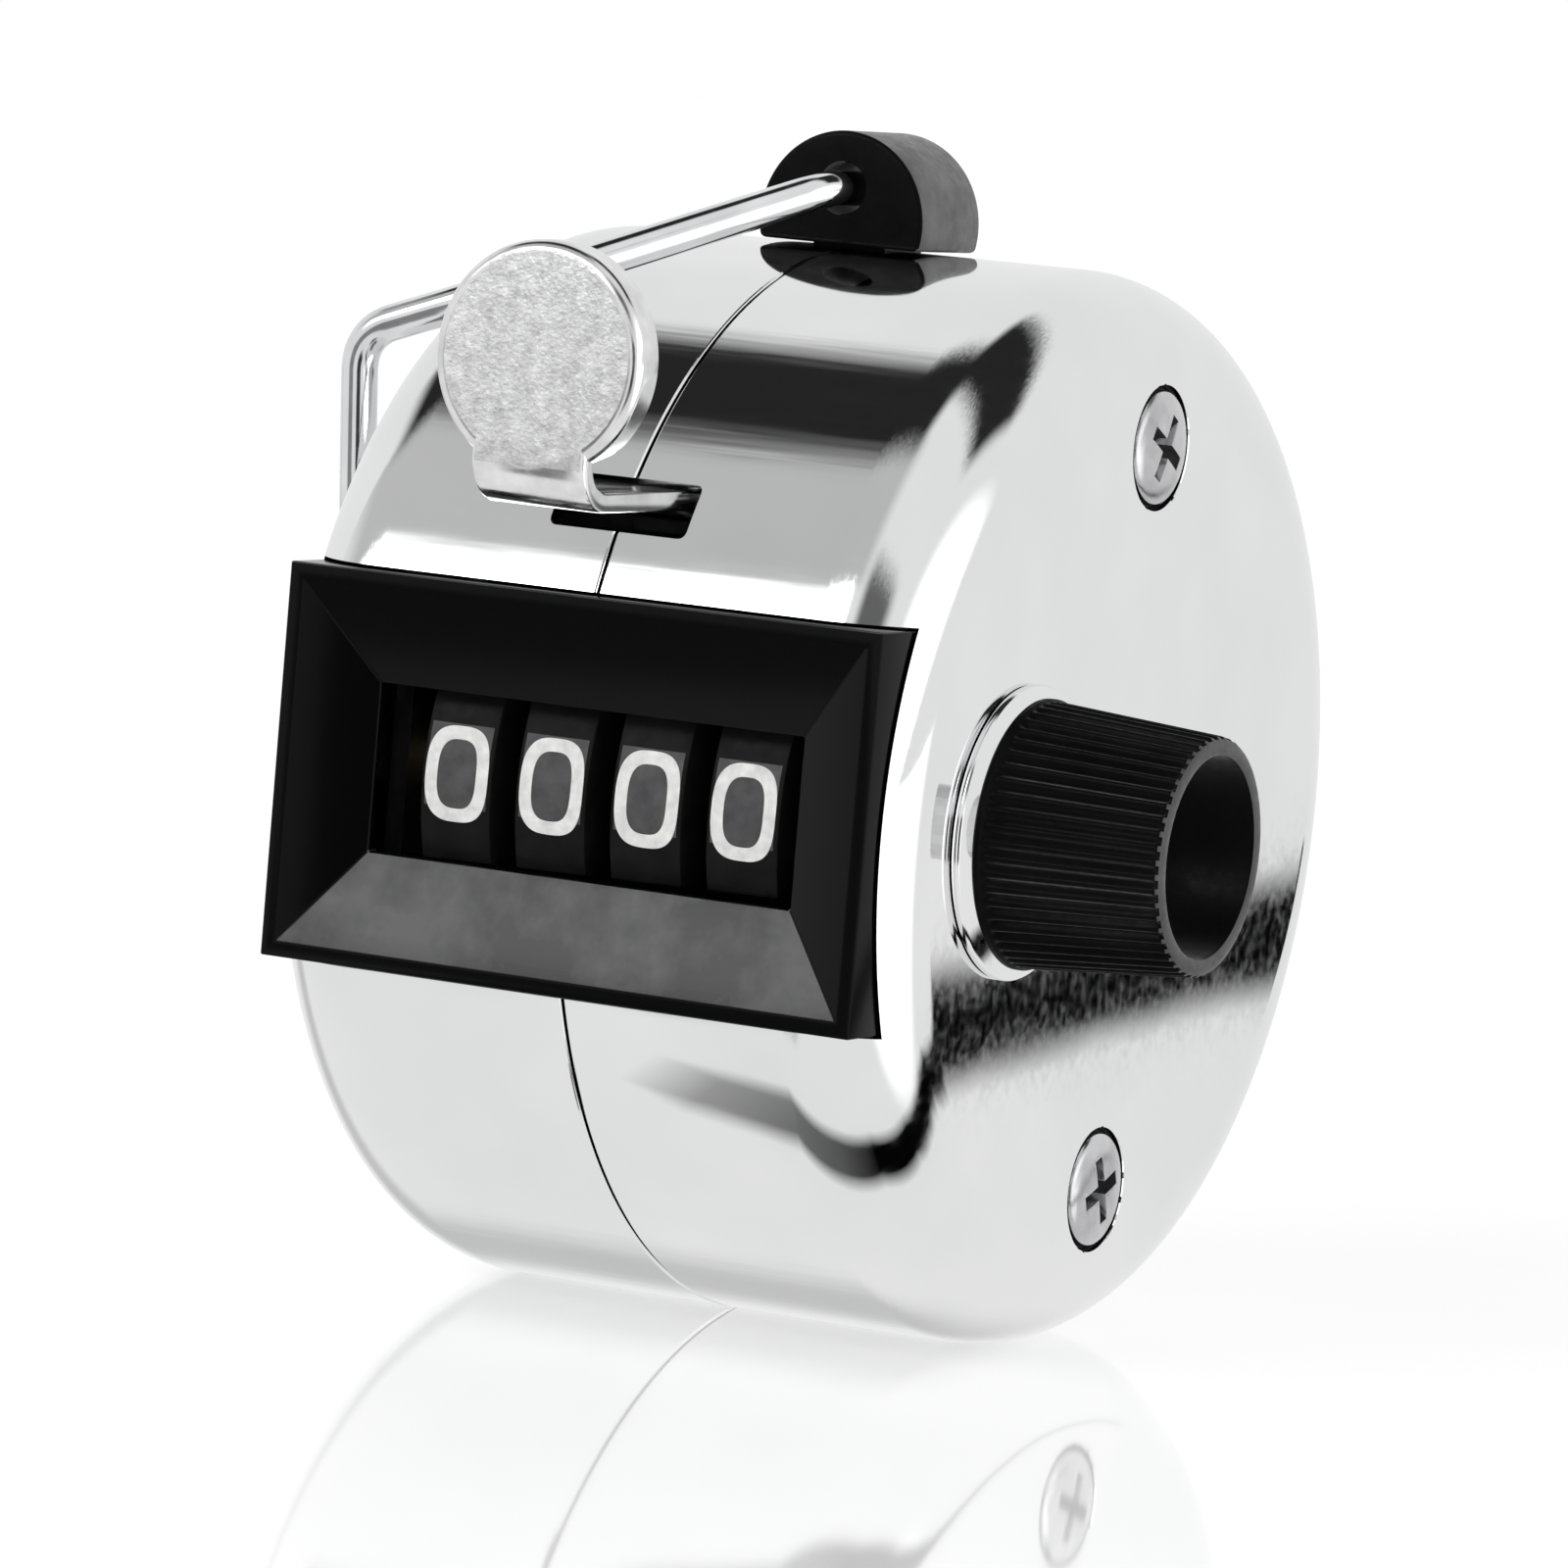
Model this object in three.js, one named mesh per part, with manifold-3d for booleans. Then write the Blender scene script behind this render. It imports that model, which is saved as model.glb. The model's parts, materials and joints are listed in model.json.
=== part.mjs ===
// Hand tally counter: a round two-shell case with a four-digit window, a thumb lever, a reset knob and a
// finger ring, with the counting mechanism inside.
//
// Frame: X along the shaft of the digit wheels (reset knob at +X), the window faces -Y, +Z is up.
// The origin is the middle of the small flat that the counter stands on, under the middle of the case.
// Everything below is laid out around the centre of the round case and raised by STAND_HEIGHT at the end.
// Lengths are in millimetres and angles in degrees.

import * as THREE from 'three';
import { mergeVertices } from 'three/addons/utils/BufferGeometryUtils.js';
import Module from 'manifold-3d';

const wasm = await Module();
wasm.setup();

// ---------------------------------------------------------------- driving dimensions

const CASE_RADIUS = 22;
const CASE_HALF_WIDTH = 14.3;
const RIM_RADIUS = 4.4;                 // fillet between the round wall and each flat side face
const SHELL_WALL = 0.8;
const LEFT_SHELL_EDGE = 0.05;           // where each shell ends at the seam
const RIGHT_SHELL_EDGE = 0.17;
const STAND_HEIGHT = 21.7;              // case centre above the small flat under it

const BEZEL = { width: 26.5, height: 15.8, z: 0.2, front: -21.4, back: -17, rim: 0.6 };
const OPENING = { width: 19, height: 6.75, y: -19.95 };
const BEZEL_CAVITY_RADIUS = 9.75;
const BEZEL_CAVITY_LENGTH = 24.8;

const SHAFT_Y = -10.2;                  // the digit wheels' shaft lies in front of the case centre
const SHAFT_RADIUS = 1.5;
const SHAFT_LEFT = -12.7;
const SHAFT_RIGHT = 18.4;

const WHEEL = { radius: 9.4, bore: 1.6, drum: 3.2, width: 4.2, pitch: 4.3, hub: 2.9, web: 0.8 };
const FIRST_WHEEL_X = -7.55;            // left face of the thousands wheel
const WHEEL_NAMES = ['thousands', 'hundreds', 'tens', 'units'];
const DIGITS = 10;
const RATCHET = { tip: 6.2, root: 5, inner: 4, width: 1 };

const PLATE = { inner: 10.6, thickness: 0.8, radius: 19.4, front: -15.4 };
const POST_Z = 15.15;                   // case screws, above and below the case centre
const POST = { radius: 2.5, neck: 1.9, end: 13.2 };

const SCREW = { head: 2.35, headHeight: 0.62, shank: 1, length: 6, seat: 2.55, seatDepth: 0.35 };

const PIVOT = { y: -13, z: 12.5 };      // thumb lever's pivot
const PIVOT_PIN_RADIUS = 0.9;
const LEVER = { x: 0.15, width: 5, thickness: 0.8, bottom: 11.65, front: -26.95, bend: 2, hub: 1.5 };
const ARM = { inner: 9.7, thickness: 0.6, halfWidth: 1.25 };
const ARM_BEND = { y: -5.6, z: 1 };
const PAWL_PIVOT = { y: -5, z: -12 };
const PAWL_PIN_RADIUS = 0.6;
const PAD = { radius: 4.55, depth: 1.6, z: 17.45 };
const SLOT = { x: 0.12, halfWidth: 3.05, low: 10.6, high: 12.7 };

const KNOB = { base: 14.95, end: 22.75, baseRadius: 5.35, endRadius: 4.8, hollow: 3.85, floor: 17.4, flutes: 52 };
const KNOB_FLUTE_DEPTH = 0.28;

const HOLDER = { radius: 3.75, z: 23, front: -2.2, back: 3.2, foot: 22.05 };
const RING_AXIS_Z = 24.4;
const RING_HOLE = 1.05;
const WIRE_RADIUS = 0.75;

const RUNNING_GAP = 0.06;               // radial clearance of turning fits
const FIT_GAP = 0.05;                   // radial clearance of fixed fits

// ---------------------------------------------------------------- materials

function finish(color, roughness, metalness) {
  return new THREE.MeshStandardMaterial({ color, roughness, metalness });
}

const chrome = () => finish(0xd9dbdd, 0.06, 1);
const polishedWire = () => finish(0xcfd1d3, 0.1, 1);
const satinSteel = () => finish(0xb4b5b5, 0.42, 1);
const springSteel = () => finish(0x8d8f92, 0.3, 1);
const zincSteel = () => finish(0xa9abad, 0.38, 1);
const brass = () => finish(0xb8924a, 0.3, 1);
const glossBlack = () => finish(0x0b0b0c, 0.2, 0);
const mattBlack = () => finish(0x111112, 0.5, 0);
const wheelBlack = () => finish(0x1d1e20, 0.45, 0);

// ---------------------------------------------------------------- helpers

const radians = THREE.MathUtils.degToRad;

/** A closed geometry as a solid that can be joined and cut. */
function toSolid(geometry) {
  const bare = geometry.clone();
  bare.deleteAttribute('normal');
  bare.deleteAttribute('uv');
  const merged = mergeVertices(bare, 1e-4);
  const corners = merged.getIndex().array;
  const kept = [];
  for (let i = 0; i < corners.length; i += 3) {
    const [a, b, c] = [corners[i], corners[i + 1], corners[i + 2]];
    if (a !== b && b !== c && c !== a) kept.push(a, b, c);
  }
  return new wasm.Manifold(new wasm.Mesh({
    numProp: 3,
    vertProperties: new Float32Array(merged.getAttribute('position').array),
    triVerts: new Uint32Array(kept),
  }));
}

function toGeometry(solid) {
  const mesh = solid.getMesh();
  const geometry = new THREE.BufferGeometry();
  geometry.setAttribute('position', new THREE.BufferAttribute(mesh.vertProperties, 3));
  geometry.setIndex(new THREE.BufferAttribute(mesh.triVerts, 1));
  geometry.computeVertexNormals();
  return geometry;
}

/** Joins the first shape with the rest. */
function join(first, ...rest) {
  return toGeometry(rest.reduce((sum, shape) => sum.add(toSolid(shape)), toSolid(first)));
}

/** Cuts every other shape out of the first. */
function cut(first, ...rest) {
  return toGeometry(rest.reduce((left, shape) => left.subtract(toSolid(shape)), toSolid(first)));
}

function common(first, second) {
  return toGeometry(toSolid(first).intersect(toSolid(second)));
}

/** A box given by its lowest and highest corners. */
function box([x0, y0, z0], [x1, y1, z1]) {
  const geometry = new THREE.BoxGeometry(x1 - x0, y1 - y0, z1 - z0);
  return geometry.translate((x0 + x1) / 2, (y0 + y1) / 2, (z0 + z1) / 2);
}

/** A round bar along X from x0 to x1 at height z and depth y; endRadius tapers it. */
function barX(radius, x0, x1, y = 0, z = 0, segments = 24, endRadius = radius) {
  const geometry = new THREE.CylinderGeometry(endRadius, radius, x1 - x0, segments);
  geometry.rotateZ(-Math.PI / 2);
  return geometry.translate((x0 + x1) / 2, y, z);
}

/** A round bar along Y from y0 to y1. */
function barY(radius, y0, y1, x = 0, z = 0, segments = 24) {
  const geometry = new THREE.CylinderGeometry(radius, radius, y1 - y0, segments);
  return geometry.translate(x, (y0 + y1) / 2, z);
}

/** A profile of [radius, x] points turned around the X axis. */
function turnX(profile, segments) {
  const points = profile.map(([radius, x]) => new THREE.Vector2(radius, x));
  return new THREE.LatheGeometry(points, segments).rotateZ(-Math.PI / 2);
}

/** A flat outline of [y, z] points, or a Shape drawn in y and z, made thick from x0 to x1. */
function plateX(outline, x0, x1, curveSegments = 12) {
  const shape = outline instanceof THREE.Shape
    ? outline
    : new THREE.Shape(outline.map(([y, z]) => new THREE.Vector2(y, z)));
  const options = { depth: x1 - x0, bevelEnabled: false, curveSegments };
  const geometry = new THREE.ExtrudeGeometry(shape, options);
  // the shape's own x, y and depth become y, z and x
  geometry.applyMatrix4(new THREE.Matrix4().set(0, 0, 1, x0, 1, 0, 0, 0, 0, 1, 0, 0, 0, 0, 0, 1));
  return geometry;
}

/** A round wire along a curve, closed at both ends. */
function wire(curve, radius, steps, sides) {
  const section = new THREE.Shape();
  for (let i = 0; i < sides; i += 1) {
    const angle = (2 * Math.PI * i) / sides;
    const [u, v] = [radius * Math.cos(angle), radius * Math.sin(angle)];
    if (i === 0) section.moveTo(u, v);
    else section.lineTo(u, v);
  }
  return new THREE.ExtrudeGeometry(section, { steps, extrudePath: curve, bevelEnabled: false });
}

/** A path through points, straight between them and rounded at each inner point by its bend length. */
function bentPath(points) {
  const path = new THREE.CurvePath();
  let from = points[0].at.clone();
  for (let i = 1; i < points.length - 1; i += 1) {
    const { at, bend } = points[i];
    const before = points[i - 1].at.clone().sub(at).setLength(bend).add(at);
    const after = points[i + 1].at.clone().sub(at).setLength(bend).add(at);
    path.add(new THREE.LineCurve3(from, before));
    path.add(new THREE.QuadraticBezierCurve3(before, at.clone(), after));
    from = after;
  }
  path.add(new THREE.LineCurve3(from, points.at(-1).at.clone()));
  return path;
}

const counter = new THREE.Group();

function part(name, geometry, material) {
  const mesh = new THREE.Mesh(geometry, material);
  mesh.name = name;
  counter.add(mesh);
  return mesh;
}

// ---------------------------------------------------------------- case shells

/** One drawn shell: round wall, rolled rim and flat side face. side is 1 on the right, -1 on the left. */
function shellBlank(side, edge) {
  const rimSteps = 5;
  const outer = [[0, CASE_HALF_WIDTH]];
  const inner = [];
  for (let i = 0; i <= rimSteps; i += 1) {
    const angle = (Math.PI / 2) * (i / rimSteps);
    const [rise, run] = [Math.sin(angle), Math.cos(angle)];
    const rimCentre = [CASE_RADIUS - RIM_RADIUS, CASE_HALF_WIDTH - RIM_RADIUS];
    const innerRim = RIM_RADIUS - SHELL_WALL;
    outer.push([rimCentre[0] + RIM_RADIUS * rise, rimCentre[1] + RIM_RADIUS * run]);
    inner.push([rimCentre[0] + innerRim * rise, rimCentre[1] + innerRim * run]);
  }
  outer.push([CASE_RADIUS, edge], [CASE_RADIUS - SHELL_WALL, edge]);
  const profile = [...outer, ...inner.reverse(), [0, CASE_HALF_WIDTH - SHELL_WALL]];
  const sided = profile.map(([radius, x]) => [radius, side * x]);
  if (side > 0) sided.reverse();
  return turnX(sided, 60);
}

/** The cutters that both shells share: window, lever slot, holder neck and the flat underneath. */
function shellCutters() {
  const margin = 0.12;
  const reach = 30;
  const windowCutter = box(
    [-BEZEL.width / 2 - margin, -reach, BEZEL.z - BEZEL.height / 2 - margin],
    [BEZEL.width / 2 + margin, -12, BEZEL.z + BEZEL.height / 2 + margin],
  );
  const slotCutter = box(
    [SLOT.x - SLOT.halfWidth, -reach, SLOT.low],
    [SLOT.x + SLOT.halfWidth, -12, SLOT.high],
  );
  const neckCutter = box([-1.75, -1.25, 19], [1.75, 2.25, 24]);
  const flatCutter = box([-reach, -reach, -reach], [reach, reach, -STAND_HEIGHT]);
  return [windowCutter, slotCutter, neckCutter, flatCutter];
}

/** Screw hole and the shallow seat that its head lies in. */
function screwSeats(side) {
  const cutters = [];
  for (const z of [POST_Z, -POST_Z]) {
    const face = side * CASE_HALF_WIDTH;
    const seatFloor = face - side * SCREW.seatDepth;
    const [low, high] = [Math.min(face + side, seatFloor), Math.max(face + side, seatFloor)];
    cutters.push(barX(SCREW.seat, low, high, 0, z, 24));
    cutters.push(barX(SCREW.shank + 0.2, side * 13.9 - 1, side * 13.9 + 1, 0, z, 16));
  }
  return cutters;
}

const shaftHole = barX(SHAFT_RADIUS + 0.6, 13, 15, SHAFT_Y, 0, 24);
part('left_case_half', cut(shellBlank(-1, -LEFT_SHELL_EDGE), ...shellCutters(), ...screwSeats(-1)), chrome());
part('right_case_half', cut(shellBlank(1, RIGHT_SHELL_EDGE), ...shellCutters(), ...screwSeats(1), shaftHole), chrome());

// ---------------------------------------------------------------- window bezel

/** Four-sided funnel from the front rim in to the opening, cut out of the bezel block. */
function funnelCutter() {
  const mouth = [BEZEL.width / 2 - BEZEL.rim, BEZEL.height / 2 - BEZEL.rim];
  const throat = [OPENING.width / 2, OPENING.height / 2];
  const depth = OPENING.y - BEZEL.front;
  const beyond = 1;                     // carries the funnel past both faces of the wall
  const corner = ([u, v], y) => [[-u, y, -v], [u, y, -v], [u, y, v], [-u, y, v]];
  const grow = (beyond / depth);
  const front = mouth.map((size, i) => size + (size - throat[i]) * grow);
  const points = [
    ...corner(front, BEZEL.front - beyond),
    ...corner(throat, OPENING.y),
    ...corner(throat, BEZEL.back + beyond),
  ];
  const faces = [0, 1, 2, 0, 2, 3, 8, 10, 9, 8, 11, 10];
  for (const ring of [0, 4]) {
    for (let i = 0; i < 4; i += 1) {
      const next = (i + 1) % 4;
      faces.push(ring + i, ring + 4 + i, ring + 4 + next, ring + i, ring + 4 + next, ring + next);
    }
  }
  const geometry = new THREE.BufferGeometry();
  geometry.setAttribute('position', new THREE.Float32BufferAttribute(points.flat(), 3));
  geometry.setIndex(faces);
  return geometry.translate(0, 0, BEZEL.z);
}

function bezelGeometry() {
  const half = [BEZEL.width / 2, BEZEL.height / 2];
  const block = box([-half[0], BEZEL.front, BEZEL.z - half[1]], [half[0], BEZEL.back, BEZEL.z + half[1]]);
  const cavityHalf = BEZEL_CAVITY_LENGTH / 2;
  const cavity = barX(BEZEL_CAVITY_RADIUS, -cavityHalf, cavityHalf, SHAFT_Y, 0, 48);
  const lips = [1, -1].map((side) => {
    const edge = BEZEL.z + side * (half[1] - 0.2);
    const outer = edge + side * 0.95;
    return box([-8, -18.7, Math.min(edge, outer)], [8, -17.9, Math.max(edge, outer)]);
  });
  return join(cut(block, funnelCutter(), cavity), ...lips);
}

part('window_bezel', bezelGeometry(), glossBlack());

// ---------------------------------------------------------------- case screws

/** Pan-head cross-recess screw driven towards the case centre from the given side. */
function caseScrew(side, z) {
  const seat = CASE_HALF_WIDTH - SCREW.seatDepth + 0.02;
  const top = seat + SCREW.headHeight;
  const profile = [
    [0, seat - SCREW.length],
    [SCREW.shank, seat - SCREW.length],
    [SCREW.shank, seat],
    [SCREW.head, seat],
    [SCREW.head, seat + 0.25],
    [SCREW.head * 0.85, seat + 0.48],
    [SCREW.head * 0.5, top - 0.03],
    [0, top],
  ].map(([radius, x]) => [radius, side * x]);
  if (side < 0) profile.reverse();
  const blank = turnX(profile, 20);
  const slotDepth = [side * (top - 0.45), side * (top + 1)].sort((a, b) => a - b);
  const slots = [
    box([slotDepth[0], -1.35, -0.25], [slotDepth[1], 1.35, 0.25]),
    box([slotDepth[0], -0.25, -1.35], [slotDepth[1], 0.25, 1.35]),
  ];
  return cut(blank, ...slots.map((slot) => slot.rotateX(radians(side * z > 0 ? 12 : 30)))).translate(0, 0, z);
}

for (const [sideName, side] of [['left', -1], ['right', 1]]) {
  for (const [heightName, z] of [['upper', POST_Z], ['lower', -POST_Z]]) {
    part(`${sideName}_${heightName}_case_screw`, caseScrew(side, z), zincSteel());
  }
}

// ---------------------------------------------------------------- inner frame

/** Side plate of the inner frame, a disc cut off straight behind the window. */
function framePlate(side) {
  const chord = Math.acos(-PLATE.front / PLATE.radius);
  const outline = new THREE.Shape();
  const arcs = 3;
  const sweep = (2 * Math.PI - 2 * chord) / arcs;
  for (let i = 0; i < arcs; i += 1) {
    const start = Math.PI + chord + i * sweep;
    outline.absarc(0, 0, PLATE.radius, start, start + sweep, false);
  }
  const holes = [
    [SHAFT_Y, 0, 2.15],
    [0, POST_Z, POST.neck + FIT_GAP],
    [0, -POST_Z, POST.neck + FIT_GAP],
    [14, 0, 1.25],
    [PIVOT.y, PIVOT.z, PIVOT_PIN_RADIUS + FIT_GAP],
    [8.5, 8.5, 3.2],
    [8.5, -8.5, 3.2],
    [3.6, 9.8, 0.75],
  ];
  for (const [y, z, radius] of holes) {
    outline.holes.push(new THREE.Path().absarc(y, z, radius, 0, 2 * Math.PI, true));
  }
  const faces = [side * PLATE.inner, side * (PLATE.inner + PLATE.thickness)].sort((a, b) => a - b);
  return plateX(outline, faces[0], faces[1], 8);
}

part('left_frame_plate', framePlate(-1), zincSteel());
part('right_frame_plate', framePlate(1), zincSteel());

/** Shouldered post between the plates, bored at both ends for the case screws. */
function framePost(z) {
  const shoulder = PLATE.inner - 0.03;
  const body = join(barX(POST.radius, -shoulder, shoulder, 0, z, 20), barX(POST.neck, -POST.end, POST.end, 0, z, 16));
  const bores = [-1, 1].map((side) => {
    const ends = [side * 7, side * (POST.end + 1)].sort((a, b) => a - b);
    return barX(SCREW.shank + FIT_GAP, ends[0], ends[1], 0, z, 16);
  });
  return cut(body, ...bores);
}

part('upper_frame_post', framePost(POST_Z), brass());
part('lower_frame_post', framePost(-POST_Z), brass());

const rearShoulder = PLATE.inner - 0.03;
part('rear_spacer', join(
  barX(2, -rearShoulder, rearShoulder, 14, 0, 20),
  barX(1.2, -rearShoulder - 1.1, rearShoulder + 1.1, 14, 0, 20),
), zincSteel());

// ---------------------------------------------------------------- reset shaft, bushes and knob

/** Shaft with the long groove that the wheels' reset pawls drop into, and a groove for its clip. */
function resetShaft() {
  const blank = barX(SHAFT_RADIUS, SHAFT_LEFT, SHAFT_RIGHT, SHAFT_Y, 0, 24);
  const groove = box([-9.4, SHAFT_Y - 0.4, 0.95], [9.6, SHAFT_Y + 0.4, 2]);
  const clipGroove = cut(barX(2.4, -12.35, -11.85, SHAFT_Y, 0, 16), barX(1.15, -13, -11, SHAFT_Y, 0, 16));
  return cut(blank, groove, clipGroove);
}

part('reset_shaft', resetShaft(), springSteel());

for (const [sideName, side] of [['left', -1], ['right', 1]]) {
  const sleeve = [side * (PLATE.inner - 0.25), side * (PLATE.inner + PLATE.thickness + 0.03)];
  const flange = [sleeve[1], sleeve[1] + side * 0.35];
  const [s0, s1] = sleeve.sort((a, b) => a - b);
  const [f0, f1] = flange.sort((a, b) => a - b);
  const body = join(barX(2.1, s0, s1, SHAFT_Y, 0, 24), barX(2.7, f0, f1, SHAFT_Y, 0, 24));
  part(`${sideName}_shaft_bush`, cut(body, barX(SHAFT_RADIUS + RUNNING_GAP, -14, 14, SHAFT_Y, 0, 24)), brass());
}

/** Open snap ring for a shaft groove. */
function snapRing(inner, outer, x0, x1, y, z) {
  const mouth = box([x0 - 1, y - inner * 0.7, z], [x1 + 1, y + inner * 0.7, z + outer + 1]);
  return cut(barX(outer, x0, x1, y, z, 20), barX(inner, x0 - 1, x1 + 1, y, z, 20), mouth);
}

part('shaft_clip', snapRing(1.2, 2.5, -12.3, -11.9, SHAFT_Y, 0), springSteel());
part('knob_washer', cut(
  barX(5.9, CASE_HALF_WIDTH + 0.05, CASE_HALF_WIDTH + 0.4, SHAFT_Y, 0, 48),
  barX(SHAFT_RADIUS + 0.3, 14, 15, SHAFT_Y, 0, 24),
), chrome());

/** Fluted, slightly tapered knob with a deep hollow end and a hub pressed on the shaft. */
function resetKnob() {
  const length = KNOB.end - KNOB.base;
  const count = KNOB.flutes * 2;
  const outline = new THREE.Shape();
  for (let i = 0; i < count; i += 1) {
    const angle = (2 * Math.PI * i) / count;
    const radius = KNOB.baseRadius - (i % 2) * KNOB_FLUTE_DEPTH;
    const [y, z] = [radius * Math.cos(angle), radius * Math.sin(angle)];
    if (i === 0) outline.moveTo(y, z);
    else outline.lineTo(y, z);
  }
  const fluted = plateX(outline, 0, length);
  const position = fluted.getAttribute('position');
  const taper = (KNOB.endRadius - KNOB.baseRadius) / KNOB.baseRadius / length;
  for (let i = 0; i < position.count; i += 1) {
    const shrink = 1 + taper * position.getX(i);
    position.setY(i, position.getY(i) * shrink);
    position.setZ(i, position.getZ(i) * shrink);
  }
  fluted.translate(KNOB.base, SHAFT_Y, 0);
  const flange = barX(KNOB.baseRadius + 0.1, KNOB.base, KNOB.base + 0.55, SHAFT_Y, 0, 48);
  const hollow = barX(KNOB.hollow, KNOB.floor, KNOB.end + 1, SHAFT_Y, 0, 40);
  const bore = barX(SHAFT_RADIUS + 0.02, KNOB.base - 1, KNOB.end, SHAFT_Y, 0, 24);
  return cut(join(fluted, flange), hollow, bore);
}

part('reset_knob', resetKnob(), mattBlack());

// ---------------------------------------------------------------- digit wheels

/** Saw-toothed ratchet, one tooth for each digit; a wheel is driven in the positive sense about +X. */
function ratchet(x0) {
  const outline = new THREE.Shape();
  for (let i = 0; i < DIGITS; i += 1) {
    const angle = (2 * Math.PI * i) / DIGITS;
    for (const radius of [RATCHET.root, RATCHET.tip]) {
      const [y, z] = [radius * Math.cos(angle), radius * Math.sin(angle)];
      if (i === 0 && radius === RATCHET.root) outline.moveTo(y, z);
      else outline.lineTo(y, z);
    }
  }
  outline.holes.push(new THREE.Path().absarc(0, 0, RATCHET.inner, 0, 2 * Math.PI, true));
  return plateX(outline, x0, x0 + RATCHET.width, 16).translate(0, SHAFT_Y, 0);
}

/** Printed drum with its hub and ratchet; x is its left face. */
function digitWheel(x) {
  const drum = turnX([
    [WHEEL.bore, 0],
    [WHEEL.radius, 0],
    [WHEEL.radius, WHEEL.drum],
    [RATCHET.inner, WHEEL.drum],
    [RATCHET.inner, WHEEL.web],
    [WHEEL.hub, WHEEL.web],
    [WHEEL.hub, WHEEL.width],
    [WHEEL.bore, WHEEL.width],
    [WHEEL.bore, 0],
  ], 32).translate(x, SHAFT_Y, 0);
  const hubSlot = box([x + 1.4, SHAFT_Y - 0.5, 0], [x + WHEEL.width + 1, SHAFT_Y + 0.5, WHEEL.hub + 0.3]);
  return cut(join(drum, ratchet(x + WHEEL.drum - 0.01)), hubSlot);
}

/** Small bent spring that joins a wheel to the shaft's groove when the knob turns. */
function resetPawl(x) {
  const outline = [
    [-0.35, SHAFT_RADIUS + 0.12], [0.35, SHAFT_RADIUS + 0.12], [0.35, 3.05], [1.7, 3.05],
    [2.3, 2.35], [2.55, 2.55], [1.85, 3.35], [-0.35, 3.35],
  ];
  return plateX(outline, x + 1.8, x + 2.8).translate(0, SHAFT_Y, 0);
}

WHEEL_NAMES.forEach((name, i) => {
  const x = FIRST_WHEEL_X + i * WHEEL.pitch;
  part(`${name}_wheel`, digitWheel(x), wheelBlack());
  part(`${name}_reset_pawl`, resetPawl(x), brass());
});

const sleeveEnds = [
  ['left_wheel_spacer', -PLATE.inner + 0.35, FIRST_WHEEL_X - 0.12],
  ['right_wheel_spacer', FIRST_WHEEL_X + 3 * WHEEL.pitch + WHEEL.width + 0.12, PLATE.inner - 0.35],
];
for (const [name, x0, x1] of sleeveEnds) {
  part(name, cut(
    barX(2.3, x0, x1, SHAFT_Y, 0, 20),
    barX(SHAFT_RADIUS + RUNNING_GAP, x0 - 1, x1 + 1, SHAFT_Y, 0, 20),
  ), brass());
}

// ---------------------------------------------------------------- thumb lever

/** A strip of constant half width between two [y, z] points, with round ends. */
function linkOutline([y0, z0], [y1, z1], halfWidth) {
  const angle = Math.atan2(z1 - z0, y1 - y0);
  const outline = new THREE.Shape();
  outline.absarc(y0, z0, halfWidth, angle + Math.PI / 2, angle + 1.5 * Math.PI, false);
  outline.absarc(y1, z1, halfWidth, angle - Math.PI / 2, angle + Math.PI / 2, false);
  return outline;
}

/** Strip that runs forward from the pivot and turns up into the thumb pad through a round bend. */
function bentStrip() {
  const inside = LEVER.bend - LEVER.thickness;
  const bendCentre = [LEVER.front + LEVER.bend, LEVER.bottom + LEVER.bend];
  const outline = new THREE.Shape();
  outline.moveTo(PIVOT.y, LEVER.bottom + LEVER.thickness);
  outline.absarc(...bendCentre, inside, 1.5 * Math.PI, Math.PI, true);
  outline.lineTo(LEVER.front + LEVER.thickness, PAD.z);
  outline.lineTo(LEVER.front, PAD.z);
  outline.absarc(...bendCentre, LEVER.bend, Math.PI, 1.5 * Math.PI, false);
  outline.lineTo(PIVOT.y, LEVER.bottom);
  return plateX(outline, LEVER.x - LEVER.width / 2, LEVER.x + LEVER.width / 2, 8);
}

/** Round thumb pad, its rim turned back towards the case and open where the strip meets it. */
function thumbPad() {
  const back = LEVER.front + PAD.depth;
  const face = barY(PAD.radius, LEVER.front, LEVER.front + LEVER.thickness, LEVER.x, PAD.z, 40);
  const neckHalf = LEVER.width / 2 - 0.1;
  const rim = cut(
    barY(PAD.radius, LEVER.front + LEVER.thickness / 2, back, LEVER.x, PAD.z, 40),
    barY(PAD.radius - LEVER.thickness, LEVER.front, back + 1, LEVER.x, PAD.z, 40),
    box([LEVER.x - neckHalf, LEVER.front, LEVER.bottom], [LEVER.x + neckHalf, back + 1, PAD.z]),
  );
  return join(face, rim);
}

function thumbLever() {
  const armOuter = ARM.inner + ARM.thickness;
  const hub = barX(LEVER.hub, -armOuter, armOuter, PIVOT.y, PIVOT.z, 24);
  const pivot = [PIVOT.y, PIVOT.z];
  const bend = [ARM_BEND.y, ARM_BEND.z];
  const end = [PAWL_PIVOT.y, PAWL_PIVOT.z];
  const arms = [-1, 1].flatMap((side) => {
    const [x0, x1] = [side * ARM.inner, side * armOuter].sort((a, b) => a - b);
    return [
      plateX(linkOutline(pivot, bend, ARM.halfWidth), x0, x1, 8),
      plateX(linkOutline(bend, end, ARM.halfWidth), x0, x1, 8),
    ];
  });
  const pinBore = barX(PIVOT_PIN_RADIUS + RUNNING_GAP, -12, 12, PIVOT.y, PIVOT.z, 20);
  const pawlBore = barX(PAWL_PIN_RADIUS + 0.01, -12, 12, PAWL_PIVOT.y, PAWL_PIVOT.z, 16);
  return cut(join(bentStrip(), thumbPad(), hub, ...arms), pinBore, pawlBore);
}

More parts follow.
